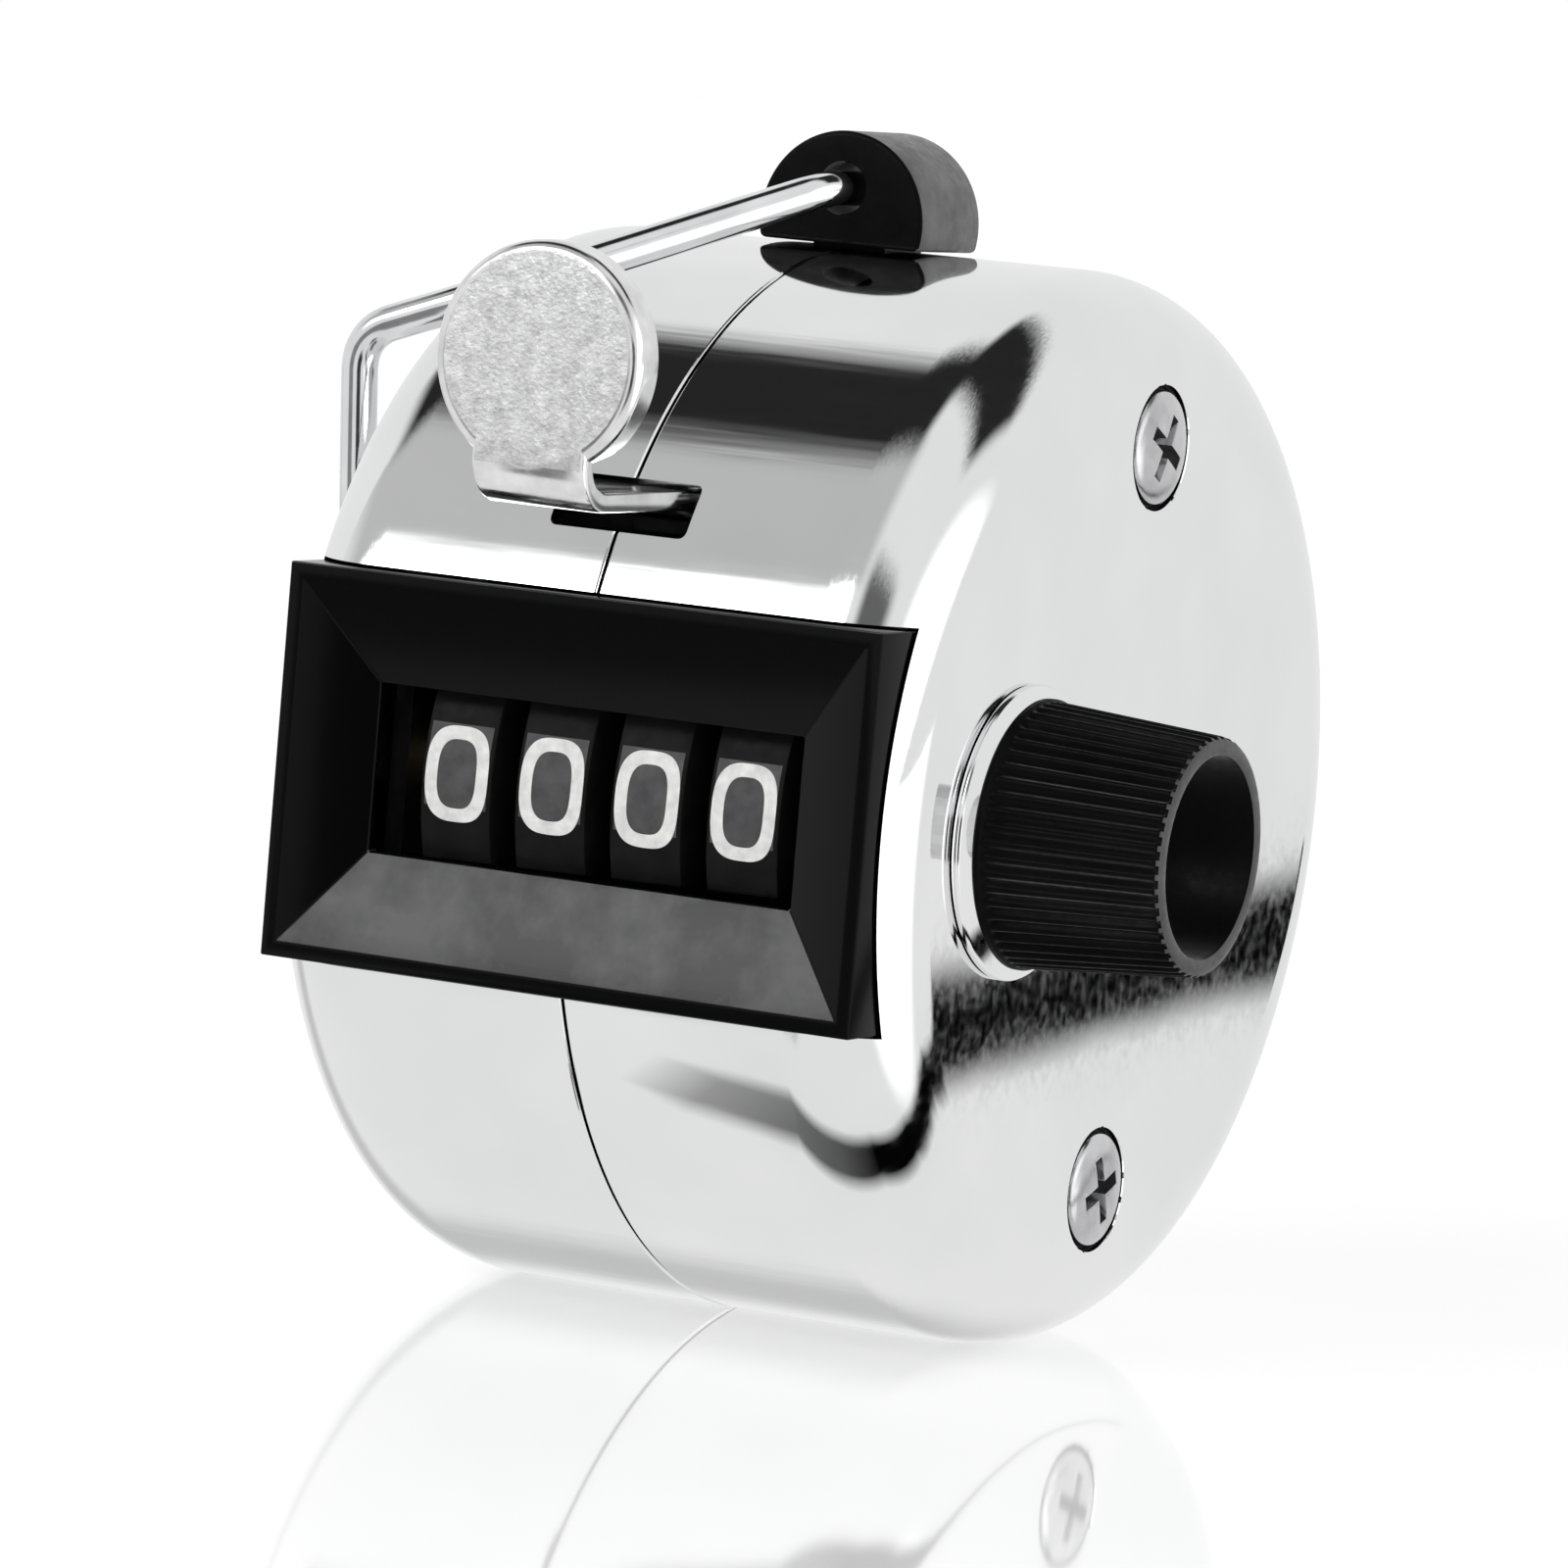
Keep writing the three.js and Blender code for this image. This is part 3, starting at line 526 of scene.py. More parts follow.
# Near-black painted shade for the screw seats and the screws' cross recesses.
RECESS_SHADE = plain_metal("painted_recess_shade", (0.004, 0.004, 0.004), (0.03, 0.03, 0.03), 0.4, 0.6)
ZINC = plain_metal("zinc_steel", (0.5, 0.51, 0.53), (0.68, 0.69, 0.7), 0.28, 0.46)
SPRING = plain_metal("spring_steel", (0.32, 0.33, 0.34), (0.5, 0.5, 0.51), 0.22, 0.38)
BRASS = plain_metal("turned_brass", (0.12, 0.09, 0.045), (0.3, 0.23, 0.12), 0.3, 0.45)

CARRIED = {
    "chrome_plate": CHROME,
    "polished_wire": WIRE,
    "satin_plate": POLISHED,
    "spring_steel": SPRING,
    "zinc_steel": ZINC,
    "turned_brass": BRASS,
    "gloss_black": GLOSS_BLACK,
    "fine_black": FINE_BLACK,
    "wheel_black": WHEEL_BLACK,
}

for subpart in frame["record"]["subparts"]:
    dress(frame["nodes"][subpart["node"]], CARRIED[subpart["material_slot"]])
dress(frame["nodes"]["reset_shaft"], GROUND_STEEL)

# -------- case shells


def outer_normal(x, y, z):
    """Direction straight out of the shell's outer surface at a point on or near it."""
    radius = math.hypot(y, z)
    over = max(abs(x) - (CASE_HALF_WIDTH - RIM_R), 0.0)
    out = max(radius - (CASE_R - RIM_R), 0.0)
    if over == 0 and out == 0:
        return Vector((math.copysign(1, x), 0, 0))
    normal = Vector((math.copysign(over, x), out * y / radius, out * z / radius))
    return normal.normalized()


def exact_normals(shell):
    """Gives the outer surface the normals of the true rounded shape, so that reflections run smoothly."""
    mesh = shell.data
    normals = [None] * len(mesh.loops)
    for face in mesh.polygons:
        x, y, z = face.center / MM
        exact = outer_normal(x, y, z - LIFT)
        radius = math.hypot(y, z - LIFT)
        outside = radius > CASE_R - WALL * 0.4 or abs(x) > CASE_HALF_WIDTH - WALL * 0.4 or (
            abs(x) > CASE_HALF_WIDTH - RIM_R and radius > CASE_R - RIM_R)
        on_side = abs(x) > CASE_HALF_WIDTH - 0.02
        on_surface = outside and face.normal.dot(exact) > 0.97 or on_side
        for index in face.loop_indices:
            if on_surface:
                x, y, z = mesh.vertices[mesh.loops[index].vertex_index].co / MM
                normals[index] = outer_normal(x, y, z - LIFT)
            else:
                normals[index] = face.normal.copy()
    mesh.normals_split_custom_set(normals)


def case_half(side_name):
    """One drawn shell with its rolled rim, window, lever slot, holder neck, screw seats and flat foot."""
    side = -1 if side_name == "left" else 1
    seam = SEAM[side_name] * side
    rim_x = CASE_HALF_WIDTH - RIM_R
    rim_r = CASE_R - RIM_R
    inner_rim = RIM_R - WALL
    outer = [(CASE_HALF_WIDTH, 0), (CASE_HALF_WIDTH, rim_r * 0.5), (CASE_HALF_WIDTH, rim_r * 0.97)]
    outer += arc((rim_x, rim_r), RIM_R, 0, 90, 28)
    outer += [(rim_x * 0.97, CASE_R), (rim_x * 0.5, CASE_R), (seam + 3 * SEAM_SOFT, CASE_R)]
    outer += arc((seam + SEAM_SOFT, CASE_R - SEAM_SOFT), SEAM_SOFT, 90, 180, 4)
    inner = [(seam, CASE_R - WALL), (rim_x, CASE_R - WALL)]
    inner += arc((rim_x, rim_r), inner_rim, 90, 0, 10)[1:]
    inner += [(CASE_HALF_WIDTH - WALL, 0)]
    profile = [(side * x, r) for x, r in outer + inner]
    shell = turned(f"{side_name}_shell", profile, 240)
    window = block(
        "window_cutter",
        (bezel_low.x - BEZEL_GAP, FRONT_CUT[0], bezel_low.z - LIFT - BEZEL_GAP + BEZEL_LAP),
        (bezel_high.x + BEZEL_GAP, FRONT_CUT[1], bezel_high.z - LIFT + BEZEL_GAP - BEZEL_LAP),
    )
    slot = block("slot_cutter", (SLOT_X[0], FRONT_CUT[0], SLOT_Z[0]), (SLOT_X[1], FRONT_CUT[1], SLOT_Z[1]))
    bevel(slot, 0.3, 3)
    neck = block("neck_cutter", (-1.75, -1.25, 19), (1.75, 2.25, 24))
    foot = block("foot_cutter", (-30, -30, -30), (30, 30, -LIFT))
    cutters = [window, slot, neck, foot]
    face = CASE_HALF_WIDTH
    dish = [(face - SEAT_DEPTH, 0), (face - SEAT_DEPTH, SEAT_R - 0.12)]
    dish += [(face - SEAT_DEPTH + 0.12, SEAT_R), (face - 0.04, SEAT_R + 0.02), (face + 0.3, SEAT_R + 0.4)]
    dish += [(face + 1, SEAT_R + 0.4), (face + 1, 0)]
    for z in (SCREW_Z, -SCREW_Z):
        cutters.append(turned("seat_cutter", [(side * x, r) for x, r in dish], 64, 0, z))
        cutters.append(rod(side * (face - 2), side * (face + 1), SHANK_HOLE_R, 32, 0, z))
    if side > 0:
        cutters.append(rod(face - 2, face + 1, SHAFT_HOLE_R, 64, SHAFT_Y))
    boolean(shell, cutters)
    shade(shell, 30)
    exact_normals(shell)

    def in_seat(x, y, z, normal):
        return math.hypot(y, abs(z) - SCREW_Z) < SEAT_R + 0.04 and abs(x) < face - 0.03

    # The screw seats are painted near black: painted shade round each screw head.
    dress_in_two(shell, CHROME, RECESS_SHADE, in_seat)
    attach(shell, "case")
    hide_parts(f"{side_name}_case_half")


case_half("left")
case_half("right")

# -------- window bezel

BEZEL_TOP = 8.1
BEZEL_BOTTOM = -7.7
BEZEL_DEPTH = 4.4
BEZEL_RIM = 0.6
OPENING_HALF = (9.5, 3.375)              # half width and half height of the opening
THROAT_Y = -19.95
CAVITY_R = 9.6
CAVITY_HALF_LENGTH = 12.3


def frame_ring(half, y, z):
    """Four corners of a rectangle round the window, seen from the front."""
    return [(-half[0], y, z - half[1]), (half[0], y, z - half[1]),
            (half[0], y, z + half[1]), (-half[0], y, z + half[1])]


def window_bezel():
    centre_z = (BEZEL_TOP + BEZEL_BOTTOM) / 2
    half = (bezel_high.x, (BEZEL_TOP - BEZEL_BOTTOM) / 2)
    front = bezel_low.y
    back = front + BEZEL_DEPTH
    mouth = (half[0] - BEZEL_RIM, half[1] - BEZEL_RIM)
    frames = [
        frame_ring(half, back, centre_z),
        frame_ring(half, front, centre_z),
        frame_ring(mouth, front, centre_z),
        frame_ring(OPENING_HALF, THROAT_Y, centre_z),
        frame_ring(OPENING_HALF, back, centre_z),
    ]
    points = [point for corners in frames for point in corners]
    rings = [range(4 * k, 4 * k + 4) for k in range(len(frames))]
    bezel = solid("bezel", points, skin(rings + rings[:1]), 20)
    boolean(bezel, [rod(-CAVITY_HALF_LENGTH, CAVITY_HALF_LENGTH, CAVITY_R, 128, SHAFT_Y)])
    bevel(bezel, 0.13, 3, 18)
    dress(bezel, GLOSS_BLACK)
    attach(bezel, "case")
    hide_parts("window_bezel")


window_bezel()

# -------- reset knob and its washer

KNOB_FLUTES = 52
KNOB_FLUTE_DEPTH = 0.3
KNOB_BASE_R = 5.3
KNOB_END_R = 4.78
KNOB_HOLLOW_R = 4.0
KNOB_FLOOR = 17.4


def knob_flute_depth(x, radius):
    """Grooves run the length of the skirt and fade out at both ends."""
    if radius < KNOB_HOLLOW_R + 0.55:
        return 0
    start = knob_low.x + 0.42
    end = knob_high.x - 0.05
    fade = min(max((x - start) / 0.25, 0), 1) * min(max((end - x) / 0.25, 0), 1)
    return KNOB_FLUTE_DEPTH * fade


def reset_knob():
    x0 = knob_low.x
    x1 = knob_high.x
    skirt = []
    stations = 10
    for i in range(stations + 1):
        share = i / stations
        radius = KNOB_BASE_R + (KNOB_END_R - KNOB_BASE_R) * share
        skirt.append((x0 + 0.66 + (x1 - x0 - 1.0) * share, radius))
    profile = [(x0, 1.62), (x0, KNOB_BASE_R)]
    profile += [(x0 + 0.1, KNOB_BASE_R + 0.1), (x0 + 0.3, KNOB_BASE_R + 0.1), (x0 + 0.38, KNOB_BASE_R + 0.02)]
    profile += [(x0 + 0.44, KNOB_BASE_R - 0.02)] + skirt
    profile += [(x1 - 0.16, KNOB_END_R - 0.03), (x1 - 0.05, KNOB_END_R - 0.12), (x1, KNOB_END_R - 0.26)]
    profile += [(x1, KNOB_HOLLOW_R + 0.14), (x1 - 0.04, KNOB_HOLLOW_R + 0.04), (x1 - 0.14, KNOB_HOLLOW_R)]
    profile += [(KNOB_FLOOR + 0.3, KNOB_HOLLOW_R - 0.08), (KNOB_FLOOR, KNOB_HOLLOW_R - 0.35)]
    profile += [(KNOB_FLOOR, 2.3), (KNOB_FLOOR + 0.1, 2.2), (KNOB_FLOOR + 0.1, 1.62)]
    knob = turned("knob", profile, KNOB_FLUTES * 10, SHAFT_Y, 0, KNOB_FLUTES, knob_flute_depth, 40)
    knob.visible_glossy = False          # left out of the plate's reflections
    # The knob's end face is a lighter grey than its skirt.
    dress_in_two(knob, FINE_BLACK, KNOB_END_GREY, lambda x, y, z, normal: x > x1 - 0.2 and normal.x > 0.5)
    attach(knob, "shaft_and_knob")
    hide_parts("reset_knob")


def knob_washer():
    x0 = washer_low.x
    x1 = washer_high.x
    rim = (washer_high.y - washer_low.y) / 2
    profile = [(x0, 1.85), (x0, rim - 0.05), (x0 + 0.08, rim), (x1 - 0.12, rim), (x1 - 0.03, rim - 0.05)]
    profile += [(x1, rim - 0.14), (x1, 1.9), (x1 - 0.05, 1.85)]
    washer = turned("washer", profile, 128, SHAFT_Y, 0)
    dress(washer, CHROME)
    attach(washer, "case")
    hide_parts("knob_washer")


reset_knob()
knob_washer()

# -------- case screws

CROSS_HALF_WIDTH = 0.3
CROSS_REACH = 1.4
CROSS_DEPTH = 0.75


def cross_cutter(side, top, z, turn):
    """Phillips recess: two tapering blades."""
    blades = []
    for quarter in (0, 90):
        outline = [(-CROSS_REACH, 0.4), (CROSS_REACH, 0.4), (CROSS_REACH, 0)]
        outline += [(0.45, -CROSS_DEPTH), (-0.45, -CROSS_DEPTH), (-CROSS_REACH, 0)]
        angle = math.radians(turn + quarter)

        def place(u, v, w, angle=angle):
            across = w - CROSS_HALF_WIDTH
            y = u * math.cos(angle) - across * math.sin(angle)
            height = u * math.sin(angle) + across * math.cos(angle)
            return (side * (top + v), y, z + height)

        blades.append(prism("cross_blade", outline, place, 2 * CROSS_HALF_WIDTH))
    return blades


def case_screw(side_name, height_name, turn):
    side = -1 if side_name == "left" else 1
    z = SCREW_Z if height_name == "upper" else -SCREW_Z
    seat = CASE_HALF_WIDTH - SEAT_DEPTH + 0.02
    crown = screw_high.x - seat
    profile = [(seat - 6, 0), (seat - 6, 0.8), (seat - 5.8, 1), (seat, 1), (seat, SCREW_HEAD_R - 0.08)]
    profile += [(seat + 0.05, SCREW_HEAD_R)]
    steps = 9
    for i in range(steps + 1):
        angle = math.radians(90 * i / steps)
        x = seat + 0.16 + (crown - 0.16) * math.sin(angle) ** 0.8
        profile.append((x, SCREW_HEAD_R * math.cos(angle) ** 0.62))
    screw = turned("screw", [(side * x, r) for x, r in profile], 64, 0, z, crease_angle=50)
    boolean(screw, cross_cutter(side, screw_high.x - 0.06, z, turn))
    bevel(screw, 0.04, 2, 40)
    screw.name = f"{side_name}_{height_name}_screw"

    def in_recess(x, y, face_z, normal):
        reach = math.hypot(y, face_z - z)
        under_crown = abs(x) < screw_high.x - 0.25
        return reach < CROSS_REACH and under_crown and abs(x) > seat - 0.5

    # The cross recess is painted near black: painted shade.
    dress_in_two(screw, SCREW_STEEL, RECESS_SHADE, in_recess)
    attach(screw, "case")
    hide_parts(f"{side_name}_{height_name}_case_screw")


case_screw("right", "upper", 62)
case_screw("right", "lower", 20)
case_screw("left", "upper", 35)
case_screw("left", "lower", 75)

# -------- digit wheels

DIGIT_HALF = (1.42, 1.92)                # half width and half height of a printed digit
DIGIT_STROKE = 0.54
DIGIT_PROUD = 0.025
DIGIT_X = 1.6                            # middle of the printed drum from the wheel's left face
DIGIT_TURN = 2                           # degrees that the digits sit above the middle of the window
GROUND_HALF = 1.4                        # half width of the paler ground that each digit is printed on
GROUND_SPAN = (-1.35, 2.0)               # its lower and upper edge
GROUND_PROUD = 0.01
PRINT_ROOT = 0.1                         # how deep the digits and grounds reach into the drum


def zero_outline():
    """A tall rounded ring, as two loops of points."""
    loops = []
    for shrink in (0, DIGIT_STROKE):
        half = (DIGIT_HALF[0] - shrink, DIGIT_HALF[1] - shrink)
        power = 2 / 3.0
        loop = []
        for i in range(64):
            angle = 2 * math.pi * i / 64
            u = math.copysign(abs(math.cos(angle)) ** power, math.cos(angle)) * half[0]
            v = math.copysign(abs(math.sin(angle)) ** power, math.sin(angle)) * half[1]
            loop.append((u, v))
        loops.append(loop)
    return loops


def zero_mesh():
    outer, inner = zero_outline()
    count = len(outer)
    bm = bmesh.new()
    rows = [[bm.verts.new((u, v, 0)) for u, v in loop] for loop in (outer, inner)]
    for i in range(count):
        j = (i + 1) % count
        bm.faces.new((rows[0][i], rows[0][j], rows[1][j], rows[1][i]))
    return bm


def letter_mesh(letter):
    """A plain sans digit, fitted to the digit box; digit_ring cuts it into narrow rows so that it can bend.
    """
    curve = bpy.data.curves.new("digit", "FONT")
    curve.body = letter
    curve.size = 1
    curve.offset = 0.004
    curve.resolution_u = 6
    holder = bpy.data.objects.new("digit", curve)
    bpy.context.scene.collection.objects.link(holder)
    bpy.context.view_layer.update()
    mesh = bpy.data.meshes.new_from_object(holder.evaluated_get(bpy.context.evaluated_depsgraph_get()))
    bpy.data.objects.remove(holder)
    bpy.data.curves.remove(curve)
    bm = bmesh.new()
    bm.from_mesh(mesh)
    bpy.data.meshes.remove(mesh)
    bmesh.ops.remove_doubles(bm, verts=bm.verts, dist=1e-5)
    xs = [v.co.x for v in bm.verts]
    ys = [v.co.y for v in bm.verts]
    wide = max(xs) - min(xs)
    tall = max(ys) - min(ys)
    height = 2 * DIGIT_HALF[1]
    width = min(2 * DIGIT_HALF[0], height * wide / tall * 1.1)
    for v in bm.verts:
        v.co.x = (v.co.x - (max(xs) + min(xs)) / 2) * width / wide
        v.co.y = (v.co.y - (max(ys) + min(ys)) / 2) * height / tall
    return bm


def on_drum(wheel_x, u, height, radius, digit):
    """A point on a drum, u along it and height round it from the middle of a digit's place."""
    angle = math.radians(36 * digit + DIGIT_TURN) + height / WHEEL_R
    return (wheel_x + u, SHAFT_Y - radius * math.cos(angle), radius * math.sin(angle))


def digit_ring(wheel_name, index):
    """Ten digits printed round one drum, the zero at the front of the window."""
    points = []
    faces = []
    wheel_x = wheel_low.x + WHEEL_PITCH * index + DIGIT_X
    for digit in range(10):
        bm = zero_mesh() if digit == 0 else letter_mesh(str(digit))
        rows = 12
        for k in range(1, rows):
            level = -DIGIT_HALF[1] + 2 * DIGIT_HALF[1] * k / rows
            geometry = bm.verts[:] + bm.edges[:] + bm.faces[:]
            bmesh.ops.bisect_plane(bm, geom=geometry, plane_co=(0, level, 0), plane_no=(0, 1, 0))
        bmesh.ops.triangulate(bm, faces=bm.faces[:])
        top = bmesh.ops.extrude_face_region(bm, geom=bm.faces[:])
        for v in top["geom"]:
            if isinstance(v, bmesh.types.BMVert):
                v.co.z = 1
        base = len(points)
        bm.verts.index_update()
        for v in bm.verts:
            radius = WHEEL_R + (DIGIT_PROUD if v.co.z > 0.5 else -PRINT_ROOT)
            points.append(on_drum(wheel_x, v.co.x, v.co.y, radius, digit))
        for f in bm.faces:
            faces.append([base + v.index for v in f.verts])
        bm.free()
    ring = solid(f"{wheel_name}_digits", points, faces, 30)
    dress(ring, DIGIT)
    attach(ring, f"{wheel_name}_digit")


def digit_grounds(wheel_name, index):
    """The ten dark grey grounds that the digits are printed on."""
    points = []
    faces = []
    wheel_x = wheel_low.x + WHEEL_PITCH * index + DIGIT_X
    rows = 8
    for digit in range(10):
        for k in range(rows + 1):
            height = GROUND_SPAN[0] + (GROUND_SPAN[1] - GROUND_SPAN[0]) * k / rows
            for radius in (WHEEL_R - PRINT_ROOT, WHEEL_R + GROUND_PROUD):
                for u in (-GROUND_HALF, GROUND_HALF):
                    points.append(on_drum(wheel_x, u, height, radius, digit))
        first = len(points) - 4 * (rows + 1)
        faces.append([first + i for i in (0, 1, 3, 2)])
        faces.append([first + 4 * rows + i for i in (0, 2, 3, 1)])
        for k in range(rows):
            base = first + 4 * k
            for a, b in ((0, 1), (1, 3), (3, 2), (2, 0)):
                faces.append([base + a, base + 4 + a, base + 4 + b, base + b])
    grounds = solid(f"{wheel_name}_grounds", points, faces, 30)
    dress(grounds, GROUND)
    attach(grounds, f"{wheel_name}_digit")


def digit_wheel(wheel_name, index):
    """The drum with softened edges, its hub and the saw-toothed ratchet beside it."""
    x0 = wheel_low.x + WHEEL_PITCH * index
    soft = 0.12
    ratchet_r = 4.0
    profile = [(x0, 1.6), (x0, WHEEL_R - soft)]
    profile += [(x0 + soft * 0.3, WHEEL_R - soft * 0.3), (x0 + soft, WHEEL_R)]
    profile += [(x0 + DRUM_WIDTH - soft, WHEEL_R), (x0 + DRUM_WIDTH - soft * 0.3, WHEEL_R - soft * 0.3)]
    profile += [(x0 + DRUM_WIDTH, WHEEL_R - soft), (x0 + DRUM_WIDTH, ratchet_r), (x0 + 0.8, ratchet_r)]
    profile += [(x0 + 0.8, 2.9), (x0 + WHEEL_WIDTH, 2.9), (x0 + WHEEL_WIDTH, 1.6)]
    drum = turned("drum", profile, 160, SHAFT_Y, 0)
    outline = []
    for i in range(10):
        angle = 2 * math.pi * i / 10
        for radius in (5.0, 6.2):
            outline.append((radius * math.cos(angle), radius * math.sin(angle)))

    def place(u, v, w):
        return (x0 + DRUM_WIDTH - 0.01 + w, SHAFT_Y + u, v)

    teeth = prism("teeth", outline, place, 1.0, 20)
    boolean(teeth, [rod(x0 + 3, x0 + 5, ratchet_r, 64, SHAFT_Y)])
    wheel = joined(f"{wheel_name}_drum", [drum, teeth])
    shade(wheel, 30)
    dress(wheel, WHEEL_BLACK)
    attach(wheel, f"{wheel_name}_digit")
    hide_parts(f"{wheel_name}_wheel")


for index, wheel_name in enumerate(WHEELS):
    digit_wheel(wheel_name, index)
    digit_grounds(wheel_name, index)
    digit_ring(wheel_name, index)

# -------- thumb lever

LEVER_X = 0.15
LEVER_HALF = 2.5
SHEET = 0.8
LEVER_BOTTOM = 11.65                     # underside of the strip
BEND_R = 2.0                             # outer radius of the bend up into the pad
PAD_FRONT = lever_low.y
STRIP_FRONT = PAD_FRONT + 0.01           # the strip's upright part, just behind the pad's face
PAD_R = 4.55
PAD_Z = 17.45
PAD_DEPTH = 1.6
PAD_EDGE = 0.5                           # rounding between the pad's face and its rim
PAD_WALL = 0.79
RIM_WALL = 0.6
BLAST_BOTTOM = 13.2                      # the blasted face ends here, where the bend starts
BLAST_DEPTH = 0.06


def strip():
    """One bent strip: out of the slot, round the bend and up behind the pad's face."""
    centre = (STRIP_FRONT + BEND_R, LEVER_BOTTOM + BEND_R)
    stations = []                        # (outer point, inward normal) along the strip, in y and z
    back = PIVOT_Y + 0.5
    runs = 6
    for k in range(runs):
        y = back + (centre[0] - back) * k / runs
        stations.append(((y, LEVER_BOTTOM), (0, 1)))
    steps = 16
    for k in range(steps + 1):
        angle = math.radians(-90 - 90 * k / steps)
        direction = (math.cos(angle), math.sin(angle))
        point = (centre[0] + BEND_R * direction[0], centre[1] + BEND_R * direction[1])
        stations.append((point, (-direction[0], -direction[1])))
    for k in range(1, 4):
        stations.append(((STRIP_FRONT, centre[1] + (PAD_Z - centre[1]) * k / 3), (1, 0)))
    soft = 0.16
    section = [(LEVER_HALF - soft, 0), (LEVER_HALF - soft * 0.3, soft * 0.3), (LEVER_HALF, soft)]
    section += [(LEVER_HALF, SHEET - soft), (LEVER_HALF - soft * 0.3, SHEET - soft * 0.3)]
    section += [(LEVER_HALF - soft, SHEET)]
    section += [(-u, w) for u, w in reversed(section)]
    points = []
    rings = []
    for (y, z), (ny, nz) in stations:
        ring = []
        for u, w in section:
            ring.append(len(points))
            points.append((LEVER_X + u, y + ny * w, z + nz * w))
        rings.append(ring)
    faces = [tuple(rings[0]), tuple(reversed(rings[-1]))] + skin(rings)
    return solid("strip", points, faces, 30)


def thumb_pad():
    """Drawn pad: a flat face, a rounded edge and a rim turned back, open at the strip."""
    sides = 144
    gap_angle = math.asin(LEVER_HALF / PAD_R)
    shallow = PAD_WALL + 0.02            # depth of the rim where it is open
    ramp = 0.2                           # radians over which the rim rises
    # (radius, depth, share of the rim's own depth)
    profile = [(0, 0, 0), (2.2, 0, 0), (PAD_R - PAD_EDGE - 0.12, 0, 0), (PAD_R - PAD_EDGE, 0.008, 0)]
    for k in range(1, 9):
        angle = math.pi / 2 * k / 8
        profile.append((PAD_R - PAD_EDGE + PAD_EDGE * math.sin(angle), PAD_EDGE * (1 - math.cos(angle)), 0))
    profile += [(PAD_R, -0.08, 1), (PAD_R - 0.08, 0, 1), (PAD_R - RIM_WALL + 0.08, 0, 1)]
    profile += [(PAD_R - RIM_WALL, -0.01, 1), (PAD_R - RIM_WALL - 0.02, PAD_WALL, 0), (2, PAD_WALL, 0)]
    profile += [(0, PAD_WALL, 0)]
    points = []
    rings = []
    for radius, depth, share in profile:
        ring = []
        for i in range(sides):
            angle = 2 * math.pi * i / sides
            from_bottom = abs((angle - 1.5 * math.pi + math.pi) % (2 * math.pi) - math.pi)
            t = min(max((from_bottom - gap_angle * 0.95) / ramp, 0), 1)
            rim_depth = shallow + (PAD_DEPTH - shallow) * t * t * (3 - 2 * t)
            ring.append(len(points))
            back = PAD_FRONT + depth + share * rim_depth
            points.append((LEVER_X + radius * math.cos(angle), back, PAD_Z + radius * math.sin(angle)))
        rings.append(ring)
    return solid("pad", points, skin(rings), 40)


def lever_plate():
    """The strip and the pad as one sheet; the flat front is blasted and the rest polished."""
    plate = boolean(thumb_pad(), [strip()], "UNION")
    shade(plate, 35)
    plate.name = "lever_plate"

    def blasted(x, y, z, normal):
        reach = math.hypot(x - LEVER_X, z - PAD_Z)
        flat = y - PAD_FRONT < BLAST_DEPTH and normal.y < -0.9
        on_face = reach < PAD_R - PAD_EDGE or abs(x - LEVER_X) < LEVER_HALF - 0.15
        return flat and on_face and z > BLAST_BOTTOM

    return dress_in_two(plate, POLISHED, SATIN, blasted)


def lever():
    plate = lever_plate()
    plate.visible_glossy = False         # left out of the case's reflections
    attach(plate, "lever")
    arms = lever_arms()
    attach(arms, "lever")
    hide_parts("thumb_lever")


def lever_arms():
    """The hub on the pivot and the two cranked side arms that carry the drive pawl."""
    hub_r = 1.5
    bore = 0.96
    half = 10.3
    inner = 9.7
    pin_bore = 0.61
    pawl_pin = (-5, -12)                 # y and z of the drive pawl's pin
    hub_profile = [(-half, bore), (-half, hub_r - 0.1), (-half + 0.1, hub_r), (half - 0.1, hub_r)]
    hub_profile += [(half, hub_r - 0.1), (half, bore)]
    pieces = [turned("hub", hub_profile, 48, PIVOT_Y, PIVOT_Z)]
    route = [(PIVOT_Y, PIVOT_Z), (-5.6, 1), pawl_pin]
    for side in (-1, 1):
        outline = arm_outline(route, 1.25)

        def place(u, v, w, side=side):
            return (side * (inner + w), u, v)

        arm = prism("arm", outline, place, half - inner)
        boolean(arm, [rod(-12, 12, bore, 32, PIVOT_Y, PIVOT_Z)])
        boolean(arm, [rod(-12, 12, pin_bore, 32, *pawl_pin)])
        pieces.append(arm)
    arms = joined("lever_arms", pieces)
    shade(arms, 30)
    return dress(arms, POLISHED)


def arm_outline(route, half_width):
    """Outline of a strip of constant width along a bent route of (y, z) points, with round ends."""
    (y0, z0), (y1, z1), (y2, z2) = route
    first = math.degrees(math.atan2(z1 - z0, y1 - y0))
    second = math.degrees(math.atan2(z2 - z1, y2 - y1))
    outline = arc((y0, z0), half_width, first + 90, first + 270, 12)
    outline += inner_corner(route, half_width, -1) if second < first else arc(
        (y1, z1), half_width, first - 90, second - 90, 6)
    outline += arc((y2, z2), half_width, second - 90, second + 90, 12)
    outline += arc((y1, z1), half_width, second + 90, first + 90, 6) if second < first else inner_corner(
        route, half_width, 1)
    return outline


